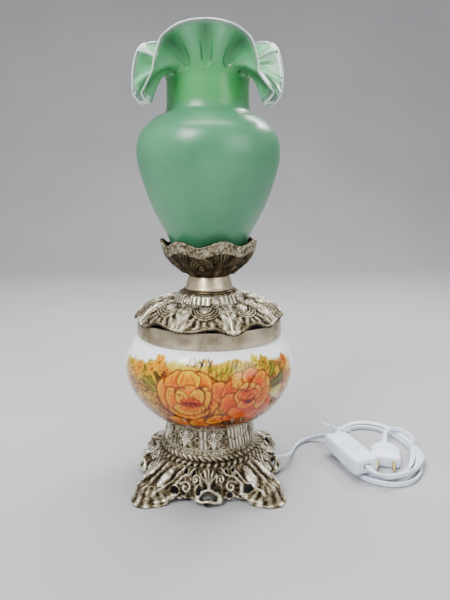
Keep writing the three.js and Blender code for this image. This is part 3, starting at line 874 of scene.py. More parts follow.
def polar(columns, profile):
    """Angle, radius and height, as grids that go up the outside of a turned profile."""
    angle = np.arange(columns) / columns * TAU
    return np.broadcast_arrays(angle[None], profile[:, :1], profile[:, 1:])


def marks(x, y, *strokes):
    """Raised lines: each stroke is a height, a width and the points that it runs through."""
    return sum(tall * ridge(to_line(x, y, points), width) for tall, width, points in strokes)


def around(angle, count, start):
    """Angle from the nearest of count equally spaced places, and which place that is."""
    step = TAU / count
    place = np.floor((angle - start) / step + 0.5)
    return angle - start - place * step, place


def build_drum():
    profile = through(
        [(54.4, 38.4), (55.5, 41.2), (54.4, 44), (52.2, 45), (51.6, 48), (51.3, 49.6), (50.6, 55),
         (49.2, 63), (48, 69.5), (47.6, 71.4), (47.3, 74)], 76,
    )
    angle, radius, height = polar(640, profile)
    warp = 0.02 * noise(round_point(radius, angle, height) / 9, 11)
    a = angle + warp
    relief = np.zeros_like(a)
    # The rope ring, a row of beads above it and a fillet at the top.
    rope = np.cos(54 * a + (height - 41) * 0.9)
    relief += 0.75 * rope * ridge(height - 41.2, 2.3)
    bead = np.cos(72 * angle)
    relief += (0.5 + 0.5 * bead) * ridge(height - 46.6, 0.9) * 0.9
    relief += 0.8 * ridge(height - 49.4, 0.8) + 0.7 * ridge(height - 72.2, 0.9)
    # Leaves: a vein, two rows of curling lobes, and a reeded panel between two leaves.
    wall = smoothstep(49.6, 51.5, height) * (1 - smoothstep(70, 71.6, height))
    d, place = around(a, 10, 0.1)
    x = d * radius
    y = height - 60.5
    leaf = 1.5 * ridge(x, 1.1)
    for side in (-1, 1):
        leaf = leaf + marks(
            side * x, y,
            (1.2, 0.9, spiral(5.4, 4.4, 4.4, 0.8, 1.2, -2.2)),
            (1.1, 0.85, spiral(4.6, -4.8, 3.4, 0.7, 1.1, 2.4, -1)),
            (1.0, 0.8, [(0.5, -9), (3, -2), (1.5, 6), (4, 9.6)]),
        )
    leaf = leaf + 1.2 * dome(x, y, 0, -4, 2.6, 4.6) + 0.9 * dome(x, y, 0, 6.4, 3.2, 3)
    reeds = 1.3 * (0.5 + 0.5 * np.cos(x * 1.45)) ** 0.6
    reeds = reeds * (1 - 0.6 * ridge(y - 2 * np.cos(x * 0.5), 1.5))
    relief += wall * np.where(np.mod(place, 3) == 1, reeds, leaf)
    relief_piece(
        "drum", "drum_casting", round_point(radius, angle, height), relief, 3.0,
        vines=3.2, wear=(0.75, 0.16),
    )


def build_crown():
    columns, rows = 720, 74
    angle = (np.arange(columns) / columns * TAU)[None]
    wave = np.cos(10 * angle + math.pi) * 0.75 + 0.25 * np.cos(14 * angle + 1.1)
    wave = wave + 0.35 * noise(round_point(1.8, angle, 0.0), 4)
    profile = through(
        [(82, 189.9), (78.4, 191.6), (74.5, 195.6), (67, 201.2), (57, 205.8), (47, 208),
         (41, 207.2), (39.6, 204.2)], rows,
    )
    run = run_along(profile)
    down = (1 - smoothstep(0, 8, run))[:, None]
    radius = profile[:, :1] + 1.6 * wave * down
    height = profile[:, 1:] + 3.4 * -wave * down ** 1.5
    lift = 2.4 * np.clip(-wave, 0, 1) * down
    radius, height = radius + 0.6 * lift, height + 0.4 * lift
    base = round_point(radius, angle, height)
    run = run[:, None]
    a = angle + 0.012 * noise(base / 12, 21)
    rosette_radius = 57
    middle = np.interp(rosette_radius, profile[::-1, 0], run[::-1, 0])
    d, _ = around(a, 9, math.radians(-2))
    x = d * np.maximum(radius, 50)
    out = middle - run  # distance from the rosettes towards the skirt
    r = np.hypot(x, out)
    relief = 2.3 * dome(x, out, 0, 0, 6.6, 6.6) ** 0.8
    relief -= 0.7 * ridge(to_line(x, out, spiral(0, 0, 6.4, 0.6, 2.1, 0.3)), 0.55)
    shell = smoothstep(-4, 2, out)
    for ring_radius, tall in ((8.6, 1.3), (11.8, 1.2), (15.0, 1.1)):
        relief = relief + tall * ridge(r - ring_radius, 0.85) * shell
    rays = 0.5 + 0.5 * np.cos(np.arctan2(x, out + 3) * 21)
    relief += 0.9 * rays * smoothstep(16.2, 18, r) * shell * smoothstep(2.2, 5, run)
    # A spear leaf with side veins between two rosettes, and curls beside it.
    x2 = np.abs(x) - np.abs(x).max(axis=1, keepdims=True)
    between = smoothstep(-9, -6, x2)
    relief += between * (1.7 * ridge(x2, 0.9) + 0.5)
    veins = 0.5 + 0.5 * np.cos((out + np.abs(x2) * 1.1) * 1.9)
    relief += between * 0.9 * veins * smoothstep(0.8, 2.0, np.abs(x2)) * smoothstep(-18, -12, out)
    for side in (-1, 1):
        relief += marks(
            side * x, out,
            (1.3, 0.8, spiral(9.4, -7.2, 4.0, 0.7, 1.3, 2.6)),
            (1.0, 0.8, [(4, -14), (7, -11), (12, -12.5), (15, -9)]),
        )
    relief += 1.1 * ridge(run - 1.2, 1.1) + 0.4 * noise(base / 3.1, 8) * smoothstep(3, 8, run)
    relief *= 1 - smoothstep(run.max() - 5, run.max() - 2, run)
    relief_piece("crown", "crown_casting", base, relief, 1.8, vines=3.4, wear=(0.95, -0.05))


def build_reeded_ring():
    profile = through(
        [(36.4, 203.4), (38, 204.6), (38.3, 206.2), (37.2, 208), (35.6, 211.5), (33.6, 215),
         (31.8, 216.4), (28, 216.5), (20, 216.5)], 44,
    )
    angle, radius, height = polar(560, profile)
    relief = np.abs(np.cos(22 * angle)) ** 0.8
    d, _ = around(angle, 7, math.radians(11))
    x, y = d * radius, height - 210
    curl = ridge(to_line(x, y, spiral(0, 0, 4.2, 0.6, 1.6, -1.2)), 0.8)
    near = smoothstep(6.4, 4.6, np.hypot(x, y * 0.9))
    relief = relief * (1 - near) + 1.5 * curl * near
    on_wall = smoothstep(205.4, 207, height) * (1 - smoothstep(214.6, 216, height))
    relief = relief * on_wall + 0.5 * ridge(height - 204.4, 1.2)
    relief_piece(
        "reeded_collar", "reeded_ring", round_point(radius, angle, height), relief, 1.5,
        wear=(0.8, 0.16),
    )


def build_cup():
    columns = 560
    angle = (np.arange(columns) / columns * TAU)[None]
    d, _ = around(angle, 7, math.radians(16.5))
    wave = np.cos(7 * d) * 0.85 + 0.3 * noise(round_point(2.2, angle, 1.0), 9)
    profile = through(
        [(19, 234.7), (21.8, 234.8), (30.6, 240.4), (40, 247.4), (47.2, 256.6), (50.4, 265),
         (51.4, 271.5)], 70,
    )
    share = np.linspace(0, 1, 70)[:, None]
    top = smoothstep(0.72, 1.0, share)
    height = profile[:, 1:] + 3.3 * wave * top
    radius = profile[:, :1] + (0.9 * wave - 0.3) * top
    base = round_point(radius, angle, height)
    d = d + 0.03 * noise(base / 8, 31)
    low = (np.mod(angle - math.radians(16.5), TAU / 7) - TAU / 14)
    x, y = low * radius, height - 246.5
    relief = np.zeros_like(radius)
    body = 1 - smoothstep(258, 262, height - 2.5 * wave)
    r = np.hypot(x, y)
    relief += 1.5 * dome(x, y, 0, 0, 3.4, 3.4)
    for ring_radius in (5.6, 8.4, 11.2):
        relief += 1.1 * ridge(r - ring_radius, 0.8) * smoothstep(-2, 2, y) * body
    x2 = d * radius
    for offset in (0, 3.2, 6.2):
        spine = ridge(np.abs(x2) - offset * (height - 232) / 24, 0.75)
        relief += (1.5 - 0.12 * offset) * spine * body
    rays = 0.5 + 0.5 * np.cos(angle * 70)
    relief += 0.8 * rays * (1 - smoothstep(240, 246, height))
    relief *= smoothstep(235.4, 239, height)
    # The rim is a rough pebbled band.
    pebble = rough_noise(base / 1.9, 41)
    relief += (1 - body) * (0.9 + 0.75 * pebble) + 0.4 * ridge(share - 0.985, 0.02)
    cup = relief_piece("cup", "shade_cup", base, relief, 2.2, vines=2.8)
    level = np.zeros(len(cup.data.vertices), np.float32)
    cup.data.attributes["relief"].data.foreach_get("value", level)
    level = level.reshape(-1, columns)
    level[:70] = np.where(body > 0.5, level[:70] * 0.52 - 0.02, 0.5 + 0.24 * pebble)
    cup.data.attributes["relief"].data.foreach_set("value", level.ravel().astype(np.float32))


def build_foot():
    columns, rows = 720, 84
    angle = (np.arange(columns) / columns * TAU)[None]
    quarter = TAU / 4
    side = np.floor(angle / quarter + 0.5)
    q = angle - side * quarter  # 0 in the middle of a side, an eighth of a turn at the toes
    toe = np.abs(np.sin(2 * angle)) ** 6
    scroll = np.abs(np.cos(2 * angle)) ** 10
    spread = 71 + 35 * toe + 8 * scroll
    on_toe = smoothstep(0.30, 0.52, toe)
    mean_radius = 75  # where an angle round the foot is read as a distance
    x = q * mean_radius
    ragged = 1.5 * np.abs(np.sin(q * 19 + 0.6)) + 1.1 * noise(round_point(7.0, angle, 0.0), 2)
    edge = (1 - on_toe) * (4.4 + ragged - 2.6 * ridge(x, 8)) + on_toe * 0.2
    v = np.linspace(0, 1, rows)[:, None]
    height = edge + (33.2 - edge) * v
    share = np.interp(height, [0, 8, 14, 20, 26, 32, 38], [1, 1, 0.9, 0.62, 0.34, 0.12, 0])
    radius = 56 + (spread - 56) * share
    radius = radius + toe * (3.4 * ridge(height, 3.4) - 2.6 * ridge(height - 8.5, 4))
    radius = radius + 5.5 * ridge(x / 9, 1) * ridge((height - 18.5) / 4.2, 1)
    radius = radius + 3.5 * ridge(x / 11, 1) * ridge((height - 4) / 4, 1)
    # The gadrooned ring on top is part of the same casting.
    ring = through(
        [(56.6, 33.4), (58.4, 34), (59, 35.8), (58.2, 37.4), (56, 38), (50, 38)], 18
    )
    radius = np.concatenate([radius, ring[:, :1] + 0 * angle])
    height = np.concatenate([height, ring[:, 1:] + 0 * angle])
    base = round_point(radius, angle, height)
    step = np.linalg.norm(np.diff(base, axis=0), axis=-1)
    run = np.concatenate([np.zeros((1, columns)), np.cumsum(step, 0)])
    y = run[rows - 1] - run  # distance down from the ring
    x = x + noise(base / 11, 51)
    yw = y + noise(base / 11, 52)
    relief = np.zeros_like(y)
    # A palmette over the scroll in the middle of each side.
    for tip in ((-10, 7), (-5.5, 3), (0, 1.5), (5.5, 3), (10, 7)):
        relief += marks(x, yw, (1.9, 1.25, [(0, 22), (tip[0] * 0.4, 14), tip]))
    relief += 2.6 * ridge(np.hypot(x / 11.5, (yw - 31.5) / 6.2) - 1, 0.2)
    # Scrolls and stems on both sides of it, and a long lobe.
    for flip in (-1, 1):
        xs = flip * x
        relief += marks(
            xs, yw,
            (1.9, 1.15, spiral(15, 13, 6.2, 1, 1.3, 2.8)),
            (2.1, 1.2, spiral(26, 22, 7, 1.2, 1.25, -0.4, -1)),
            (1.8, 1.3, [(18, 1), (24, 8), (33, 12), (37, 22), (34, 30), (40, 40), (46, 48)]),
            (1.7, 1.1, [(33, 1), (38, 9), (40, 18), (47, 33), (50, 44)]),
            (1.6, 1.3, [(10, 37), (17, 31), (22, 34), (28, 31), (33, 36)]),
            (1.2, 1.0, spiral(35, 33, 4.6, 1, 1.1, 0.6)),
        )
        lobe = dome(xs, yw, 48.5, 17, 5.2, 14.5, 0.12 * flip)
        relief += 3.2 * lobe ** 0.7 - 1.1 * ridge(lobe - 0.55, 0.12)
    from_toe = (np.mod(angle, quarter) - quarter / 2) * mean_radius
    fan = 0.5 + 0.5 * np.cos(np.arctan2(from_toe, y - 14) * 33)
    relief += 1.2 * fan * smoothstep(31, 38, y) * on_toe
    relief += 1.3 * ridge(from_toe, 1.6) * (1 - smoothstep(26, 34, y))
    relief += 1.3 * ridge(run - 1.4, 1.3) * on_toe
    relief += 0.5 * rough_noise(base / 3.4, 61)
    skirt = np.zeros_like(relief)
    skirt[:rows] = 1
    relief *= skirt * smoothstep(0, 2.5, y + 0.4)
    rope = np.cos(50 * angle - (height - 35.6) * 0.5)
    relief += (1 - skirt) * (0.9 * rope * ridge(height - 35.4, 2.4))
    # Pierced holes: by the palmette, high under the ring and low beside the scroll.
    keep = np.ones_like(relief, bool)
    holes = (
        (-10, 24.5, 3.4, 5.2), (-36, 27, 3.0, 3.4), (23.5, 30.5, 3.2, 2.6), (41, 28, 4.0, 4.4),
        (-19.5, 6.5, 2.6, 3.2), (-30.5, 5.5, 2.4, 3.0), (24, 5.2, 2.7, 2.9), (33.5, 3.8, 2.0, 2.4),
        (0, 32, 7.6, 3.1),
    )
    for hx, hy, rx, ry in holes:
        inside = np.hypot((x - hx) / rx, (yw - hy) / ry)
        keep &= inside > 1
        relief += 0.9 * ridge(inside - 1.35, 0.22) * skirt
    keep[rows:] = True
    # The lead leaves through a round hole in the middle of one side.
    lead_side, lead_height, hole_radius = np.mod(side, 4) == 1, 17, 4.2
    keep &= ~(lead_side & (np.hypot(q * mean_radius, height - lead_height) < hole_radius))
    relief_piece("foot", "foot_casting", base, relief, keep=keep, vines=4.4, wear=(0.8, 0.06))


build_drum()
build_crown()
build_reeded_ring()
build_cup()
build_foot()


# ---------------------------------------------------------------- painted porcelain bowl

def tone(red, green, blue):
    """A pigment as 0 to 1 screen values: the painting is mixed in these and made linear at the end."""
    return np.array([red, green, blue]) / 255


class Painting:
    """Layers of paint on the bowl. x is the distance round it from the middle of a bouquet, in
    millimetres at its widest, and z is the height."""

    def __init__(self, x, z, wobble):
        self.x, self.z = x + 1.5 * wobble[0], z + 1.3 * wobble[1]
        self.mottle = wobble[2]
        self.colour = np.zeros(x.shape + (3,)) + tone(250, 251, 255)
        self.paint = np.zeros(x.shape)

    def lay(self, mask, colour):
        mask = np.clip(mask, 0, 1)
        self.colour += (colour - self.colour) * mask[..., None]
        self.paint = np.maximum(self.paint, mask)

    def patch(self, strength, cx, cz, rx, rz, colour, turn=0.0):
        self.lay(strength * dome(self.x, self.z, cx, cz, rx, rz, turn), colour)

    def line(self, points, width, colour, strength=1.0):
        self.lay(strength * ridge(to_line(self.x, self.z, points), width), colour)

    def petal(self, cx, cz, rx, rz, turn, light, dark, edge, edge_width):
        """A rounded petal, paler towards its lip, with streaks along it and a dark outline."""
        u, v = in_oval(self.x, self.z, cx, cz, rx, rz, math.radians(turn))
        r = np.sqrt(u * u + v * v)
        inside = smoothstep(1.05, 0.97, r)
        streak = 0.5 + 0.5 * np.sin(np.arctan2(v, u) * 17 + 3 * self.mottle)
        shade = 0.1 + 0.8 * r ** 2 + 0.3 * v * r + 0.24 * self.mottle + 0.16 * streak
        self.lay(inside, dark + (light - dark) * np.clip(shade, 0, 1)[..., None])
        size = min(rx, rz)
        self.lay((0.66 + 0.3 * self.mottle) * ridge((r - 1.0) * size, 0.66 * edge_width), edge)
        self.lay(0.35 * ridge((r - 0.8) * size, 0.9) * (v < 0.2), light * 1.06)

    def leaf(self, start, end, width, light, dark):
        """A pointed leaf with a pale midrib and side veins."""
        ax, az = start
        bx, bz = end
        length = math.hypot(bx - ax, bz - az)
        ux, uz = (bx - ax) / length, (bz - az) / length
        along = ((self.x - ax) * ux + (self.z - az) * uz) / length
        off = -(self.x - ax) * uz + (self.z - az) * ux + 0.08 * length * np.sin(np.pi * along)
        half = width * np.sin(np.pi * np.clip(along, 0.001, 0.999)) ** 0.8
        inside = smoothstep(1.1, 0.9, np.abs(off) / np.maximum(half, 0.1)) * (along > 0) * (along < 1)
        veins = 0.5 + 0.5 * np.sin((along * length - np.abs(off)) * 2.1)
        shade = np.clip(0.3 + 0.4 * veins + 0.3 * self.mottle, 0, 1)[..., None]
        self.lay(inside, dark + (light - dark) * shade)
        self.lay(0.8 * inside * ridge(off, 0.5), light * 1.25)

    def blossom(self, cx, cz, size, light, dark):
        for k in range(5):
            a = k * TAU / 5 + cx
            self.petal(
                cx + 0.62 * size * math.cos(a), cz + 0.62 * size * math.sin(a),
                0.55 * size, 0.45 * size, math.degrees(a), light, dark, dark * 0.8, 0.5,
            )
        self.patch(1, cx, cz, 0.3 * size, 0.3 * size, dark * 0.6)

    def petals(self, edge, *rows):
        """Each row is a petal: its middle, radii, turn, two colours and the width of its edge."""
        for *shape, light, dark, edge_width in rows:
            self.petal(*shape, light, dark, edge, edge_width)


def paint_foliage(art, draw):
    """The ochre ground, its ragged upper edge, and short strokes of leaf and grass over it."""
    x, z, mottle = art.x, art.z, art.mottle
    top = 157.5 + 4.5 * ridge((x - 33) / 24, 1) + 2.5 * ridge((x + 56) / 14, 1) - 0.0004 * x * x
    ragged = top + 2.6 * mottle - z
    side = smoothstep(120, 100, np.abs(x + 2) + 7 * mottle)
    ground = smoothstep(-1.5, 3.5, ragged) * side
    pale, warm, deep = tone(232, 190, 98), tone(206, 150, 62), tone(140, 78, 30)
    art.lay(ground * 0.96, pale + (warm - pale) * smoothstep(154, 136, z + 8 * mottle)[..., None])
    art.lay(0.9 * ground * smoothstep(110, 92, z + 5 * mottle), deep)
    left = smoothstep(-36, -56, x) * smoothstep(156, 144, z)
    art.lay(0.78 * ground * left, tone(196, 172, 92))
    spots = (tone(120, 104, 36), tone(246, 222, 140), tone(110, 62, 24), tone(226, 168, 60))
    for _ in range(120):
        cx, cz = draw.uniform(-100, 100), draw.uniform(80, 160)
        spot = dome(x, z, cx, cz, draw.uniform(3, 8), draw.uniform(2, 5), draw.uniform(-0.8, 0.8))
        art.lay(0.5 * spot * ground, spots[draw.integers(4)])
    # Strokes: olive above, brown and gold below, few towards the sides.
    high = (tone(150, 140, 44), tone(100, 98, 30), tone(244, 222, 130), tone(196, 140, 44))
    low = (tone(124, 84, 34), tone(84, 54, 24), tone(244, 204, 112), tone(176, 124, 46))
    for _ in range(950):
        cx, cz = draw.uniform(-100, 100), draw.uniform(90, 161)
        length, lean = draw.uniform(2.5, 8), draw.uniform(-1.2, 1.2)
        colour = (high if cz > 143 else low)[draw.integers(4)]
        if cz > 143:
            lean += 1.1
        dx, dz = length * math.cos(lean) / 2, length * math.sin(lean) / 2
        bend = draw.uniform(-1.2, 1.2)
        near = (np.abs(x - cx) < 8) & (np.abs(z - cz) < 8)
        if near.any():
            points = [(cx - dx, cz - dz), (cx + bend, cz + bend), (cx + dx, cz + dz)]
            mask = np.zeros_like(x)
            mask[near] = 0.9 * ridge(to_line(x[near], z[near], points), draw.uniform(0.45, 1.0))
            art.lay(mask * np.clip(ground * 1.4, 0, 1), colour)


def paint_background(art):
    """What lies behind the roses: grass, blossoms along the top, and leaves at the sides."""
    olive, deep_olive, yellow = tone(168, 154, 66), tone(84, 76, 26), tone(214, 168, 44)
    brown, straw = tone(66, 44, 20), tone(226, 202, 120)
    # A pale open space over the first rose, and dark and yellow grass beside it.
    art.patch(0.8, -27, 156, 17, 5.5, tone(238, 220, 170))
    art.patch(0.5, -20, 152, 13, 2.6, tone(198, 178, 120))
    for k in range(7):
        foot, tip = -20 + 3.6 * k, -17.5 + 3.6 * k
        art.line([(foot, 157), (tip, 162.5)], 0.8, (brown, yellow)[k % 2])
        art.line([(tip, 162.5), (tip + 2.2, 158)], 0.8, (yellow, brown)[k % 2])
    art.patch(0.75, 24, 152.5, 19, 10, tone(204, 186, 96))
    for k in range(9):
        middle = (11 + 2.4 * k, 149 + 0.7 * k)
        tip = (13 + 2.6 * k, 152 + 0.3 * (5 + 2.1 * k))
        colour = (olive, deep_olive, straw)[k % 3]
        art.line([(5 + 2.2 * k, 146 + 0.5 * k), middle, tip], 0.5, colour, 0.85)
    for k in range(8):
        blade = [(24 + 1.9 * k, 161.5 - 0.3 * k), (19 + 2.6 * k, 151 - 0.5 * k)]
        art.line(blade, 0.45, (deep_olive, straw)[k % 2], 0.8)
    gold, amber = tone(246, 206, 66), tone(214, 146, 30)
    for cx, cz, size, light, dark in (
        (-53, 157, 6.5, gold, amber), (-60, 150, 6.0, tone(244, 206, 96), amber),
        (-80, 147, 6.5, tone(240, 200, 104), tone(196, 132, 44)),
        (-45, 149, 5.5, tone(232, 176, 66), tone(170, 116, 34)),
        (62, 156, 6.0, tone(238, 212, 92), tone(150, 120, 30)),
        (96, 152, 5.5, tone(240, 190, 80), tone(178, 104, 26)),
        (52, 160, 4.0, tone(248, 240, 214), tone(226, 200, 120)),
    ):
        art.blossom(cx, cz, size, light, dark)
    for start, end, width, light, dark in (
        ((-46, 131), (-57, 149), 3.4, tone(122, 104, 42), brown),
        ((-44, 132), (-47, 149), 3.0, tone(104, 84, 34), tone(52, 32, 16)),
        ((-50, 127), (-76, 139), 6.4, tone(184, 172, 90), tone(96, 84, 34)),
        ((62, 132), (93, 142), 6.0, tone(150, 146, 64), tone(58, 54, 22)),
        ((64, 139), (77, 153), 3.8, tone(164, 156, 70), tone(82, 74, 26)),
    ):
        art.leaf(start, end, width, light, dark)
    # A painted reflection: a near-white patch to the right of the second rose.
    art.patch(0.85, 78, 122.5, 9, 7.5, tone(234, 232, 230))
    art.patch(0.8, 75, 108, 9, 6, tone(104, 82, 44))
    art.patch(0.85, -68, 96, 9, 4.5, tone(132, 62, 22), 0.5)
    # The curling edge of a large leaf under the first rose, from its left to the bottom.
    art.line([(-54, 122), (-50, 111), (-40, 101), (-26, 97)], 1.3, tone(118, 58, 20))
    art.line([(-59, 118), (-54, 106), (-44, 97), (-30, 92)], 1.0, tone(146, 84, 30), 0.8)


def paint_first_rose(art):
    """An orange-gold rose. Its petals are laid from the outside in."""
    light, dark, edge = tone(248, 190, 66), tone(192, 112, 22), tone(92, 38, 10)
    pale, ochre, tan, rust = tone(250, 208, 96), tone(206, 134, 44), tone(216, 140, 70), tone(150, 82, 26)
    art.petals(
        edge,
        (-36, 93, 13, 6.5, -12, light, dark, 1.3), (-9, 94.5, 15, 6, 4, light, dark, 1.3),
        (9, 99, 12, 6, 18, light, dark, 1.3), (-39, 124, 12.5, 21, 14, light, dark, 1.3),
        (1, 125, 11.5, 22, -12, light, dark, 1.3), (-31, 142, 12, 10, 32, light, dark, 1.3),
        (-5, 142, 12, 10, -32, light, dark, 1.3),
        (-18, 144, 12.5, 9.5, 0, tone(246, 204, 92), tone(202, 140, 40), 0.8),
        (-20, 111, 23, 12.5, 2, light, dark, 1.4), (-33, 122, 9.5, 14, 10, light, ochre, 1.2),
        (-4, 124, 8.5, 15, -10, pale, ochre, 1.2), (-18, 113.5, 17, 8.5, 4, pale, dark, 0.9),
        (-17, 127.5, 15.5, 12, 0, tone(236, 176, 92), tone(204, 128, 56), 1.0),
        (-25, 126, 7, 8, 20, pale, tan, 0.7), (-9, 128, 6.5, 9, -18, pale, tan, 0.7),
    )
    art.patch(1.3, -17, 121, 11, 5.5, tone(148, 52, 24))
    art.petals(
        edge,
        (-20, 123.4, 5.2, 3.2, 12, tone(232, 150, 96), tone(196, 84, 44), 0.5),
        (-13.4, 122.6, 3.8, 2.6, -14, tone(224, 132, 84), tone(186, 74, 40), 0.5),
    )
    for cx, cz in ((-20.4, 120.2), (-12.6, 119.2), (-16.2, 118.8)):
        art.patch(1.2, cx, cz, 1.7, 1.2, tone(44, 16, 12))
    art.line([(-33, 131), (-29, 135.5), (-21, 137)], 0.7, edge, 0.8)
    art.line([(-6, 138), (-1.5, 132), (-2, 124), (-6, 118)], 0.8, edge, 0.8)
    art.line([(-14, 150), (-12, 141), (-9, 134)], 0.6, rust, 0.7)
    art.line([(-24, 149), (-26, 141), (-30, 136)], 0.6, rust, 0.7)


def paint_second_rose(art):
    """A salmon pink rose, over orange petals."""
    light, dark, edge = tone(238, 184, 132), tone(188, 104, 64), tone(96, 32, 18)
    rose, blush = tone(242, 198, 164), tone(214, 122, 92)
    orange, umber = tone(232, 152, 72), tone(176, 88, 32)
    art.petals(
        edge,
        (28, 100, 13, 7, 0, orange, umber, 0.9), (52, 100, 14, 8, -10, orange, umber, 0.9),
        (66, 108, 9, 11, -30, orange, umber, 0.9), (13, 132, 8, 12, 14, light, dark, 0.9),
        (22, 133, 7, 13, -18, tone(232, 164, 116), tone(182, 94, 60), 0.9),
        (25, 118, 11, 13, 22, tone(236, 160, 84), tone(190, 98, 40), 1.0),
        (42, 107, 20, 10.5, -4, tone(236, 154, 76), tone(190, 94, 36), 1.0),
        (59, 124, 9, 19, -12, rose, tone(204, 116, 80), 0.9), (31, 143, 8, 8, 34, rose, light, 0.7),
        (46, 144, 12, 9, -14, rose, blush, 0.9), (53, 138, 8, 12, -28, rose, tone(208, 104, 82), 0.9),
        (41, 126.5, 14.5, 13.5, 0, rose, light, 1.0), (33, 124, 5.5, 10, 14, rose, blush, 0.7),
        (49, 126, 6, 11, -16, rose, blush, 0.7), (41, 116.5, 11, 5.5, 2, rose, blush, 0.7),
        (41, 127, 10, 8, 0, tone(238, 180, 140), tone(200, 88, 60), 0.8),
    )
    art.patch(1.3, 42, 120.5, 8.6, 4.8, tone(150, 34, 26))
    art.petals(edge, (41, 124.4, 7, 3, 4, tone(236, 164, 128), tone(206, 96, 74), 0.6))
    art.patch(1.2, 43, 119.2, 4.2, 2.0, tone(58, 14, 14))
    art.line([(37, 130), (42, 137), (50, 148)], 0.9, tone(126, 46, 26), 0.9)
    art.line([(33, 134), (40, 131), (49, 133)], 0.8, edge, 0.8)


def paint_bouquet(art):
    paint_foliage(art, np.random.default_rng(11))
    paint_background(art)
    paint_first_rose(art)
    paint_second_rose(art)
    # Dark leaves and shadow under both, and the brown the painting ends in.
    art.lay(0.72 * smoothstep(93, 82, art.z) * (art.paint > 0.3), tone(104, 50, 16))
    art.patch(0.85, 26, 92.5, 13, 4.4, tone(66, 40, 16))
    art.patch(0.8, 41, 95, 8, 3.4, tone(120, 92, 42))
    art.patch(0.7, -52, 91, 10, 4.0, tone(110, 60, 24))


def build_bowl():
    """The bowl, its glaze, and the painting: the same bouquet on the front and on the back."""
    columns = 640
    outside = through(
        [(44, 74.3), (57, 76.8), (75.4, 91), (89.6, 113.4), (94.4, 136), (88.4, 157), (79.6, 168.6),
         (76, 169.9)], 136,
    )
    rim = np.array([(76, 174), (76, 179.6), (75.6, 180), (72.4, 180), (72, 179.6)])
    inside = np.array([
        (72, 170), (84.6, 157), (90.4, 136), (85.8, 115), (72, 93.6), (55.4, 80.6), (40, 78.3),
        (8, 78.3), (8, 74.3),
    ])
    profile = np.vstack([outside, rim, inside])
    angle = (np.arange(columns) / columns * TAU)[None]
    points = round_point(profile[:, :1], angle, profile[:, 1:])
    bowl = mesh_object(
        "bowl", points.reshape(-1, 3), grid_faces(len(profile), columns, True), glaze(), "lamp"
    )
    sharpen(bowl)
    front = np.mod(angle + TAU / 4, TAU / 2) - TAU / 4
    rows = len(outside)
    painted_radius = 92  # close to the bowl's widest, so that the painting isn't stretched there
    x, z = np.broadcast_arrays(painted_radius * front, outside[:, 1:])
    place = points[:rows]
    wobble = [noise(place / 7, seed) + 0.4 * noise(place / 2.4, seed + 3) for seed in (71, 72)]
    wobble.append(0.6 * noise(place / 9, 73) + 0.5 * noise(place / 3, 76))
    art = Painting(x, z, wobble)
    paint_bouquet(art)
    # Loose flecks of ochre drift out from the bouquet over the white at its sides.
    fleck = smoothstep(0.42, 0.75, noise(place / 1.9, 77) + 0.5 * noise(place / 6, 78))
    drift = smoothstep(134, 100, np.abs(x)) * smoothstep(88, 100, z) * smoothstep(160, 148, z)
    art.lay(0.85 * fleck * drift, tone(150, 96, 44))
    speck = smoothstep(0.3, 0.6, noise(place / 1.3, 79) + 0.4 * noise(place / 4, 80))
    lower_left = smoothstep(-44, -60, x) * smoothstep(-104, -92, x)
    lower_left = lower_left * smoothstep(84, 92, z) * smoothstep(140, 128, z)
    art.lay(0.7 * speck * lower_left, tone(96, 58, 26))
    # Enamel is deeper in colour than the same pigment dry.
    hue = np.clip(art.colour, 0, 1)
    grey = hue.mean(-1, keepdims=True)
    rich = np.clip(grey + (hue - grey) * 1.5, 0, 1) ** 1.4 * (0.87, 0.94, 0.4)
    hue = hue + (rich - hue) * art.paint[..., None]
    hue = np.where(hue <= 0.04045, hue / 12.92, ((hue + 0.055) / 1.055) ** 2.4)
    full = np.ones((len(profile), columns, 4))
    full[..., :3] = 0.88
    full[:rows, :, :3] = hue
    store(bowl, "painting", full, "FLOAT_COLOR", "color")
    paint = np.zeros((len(profile), columns))
    paint[:rows] = art.paint
    store(bowl, "paint", paint)
    show(bowl, "porcelain", "porcelain_bowl")


def glaze():
    """Glossy glaze over enamel painting: the brush's mottle shows only where there is paint."""
    f = Finish("glazed_porcelain", IOR=1.45, Coat_Weight=0.15, Coat_Roughness=0.04)
    colour, paint = f.attribute("painting", "Color"), f.attribute("paint")
    streak = f.noise(420, 4, stretch=(1, 1, 0.55), distortion=1.2)
    grain = f.noise(1100, 3)
    dark = f.mix(f.span(streak, 0.42, 0.68, 0.0, 0.42), colour, srgb(150, 78, 30), "MULTIPLY")
    light = f.mix(f.span(grain, 0.56, 0.76, 0.0, 0.35), dark, srgb(196, 132, 16), "SCREEN")
    white = f.mix(f.span(f.noise(45, 3), 0.35, 0.7, 0.0, 0.07), colour, srgb(220, 221, 228))
    f.set("Base Color", f.mix(paint, white, light))
    f.set("Roughness", f.span(f.noise(90, 3), 0.3, 0.7, 0.09, 0.17))
    f.bump(f.maths("ADD", f.noise(75, 2), f.maths("MULTIPLY", paint, 0.25)), 0.08, 0.35)
    return f.material


build_bowl()


# ---------------------------------------------------------------- bulb

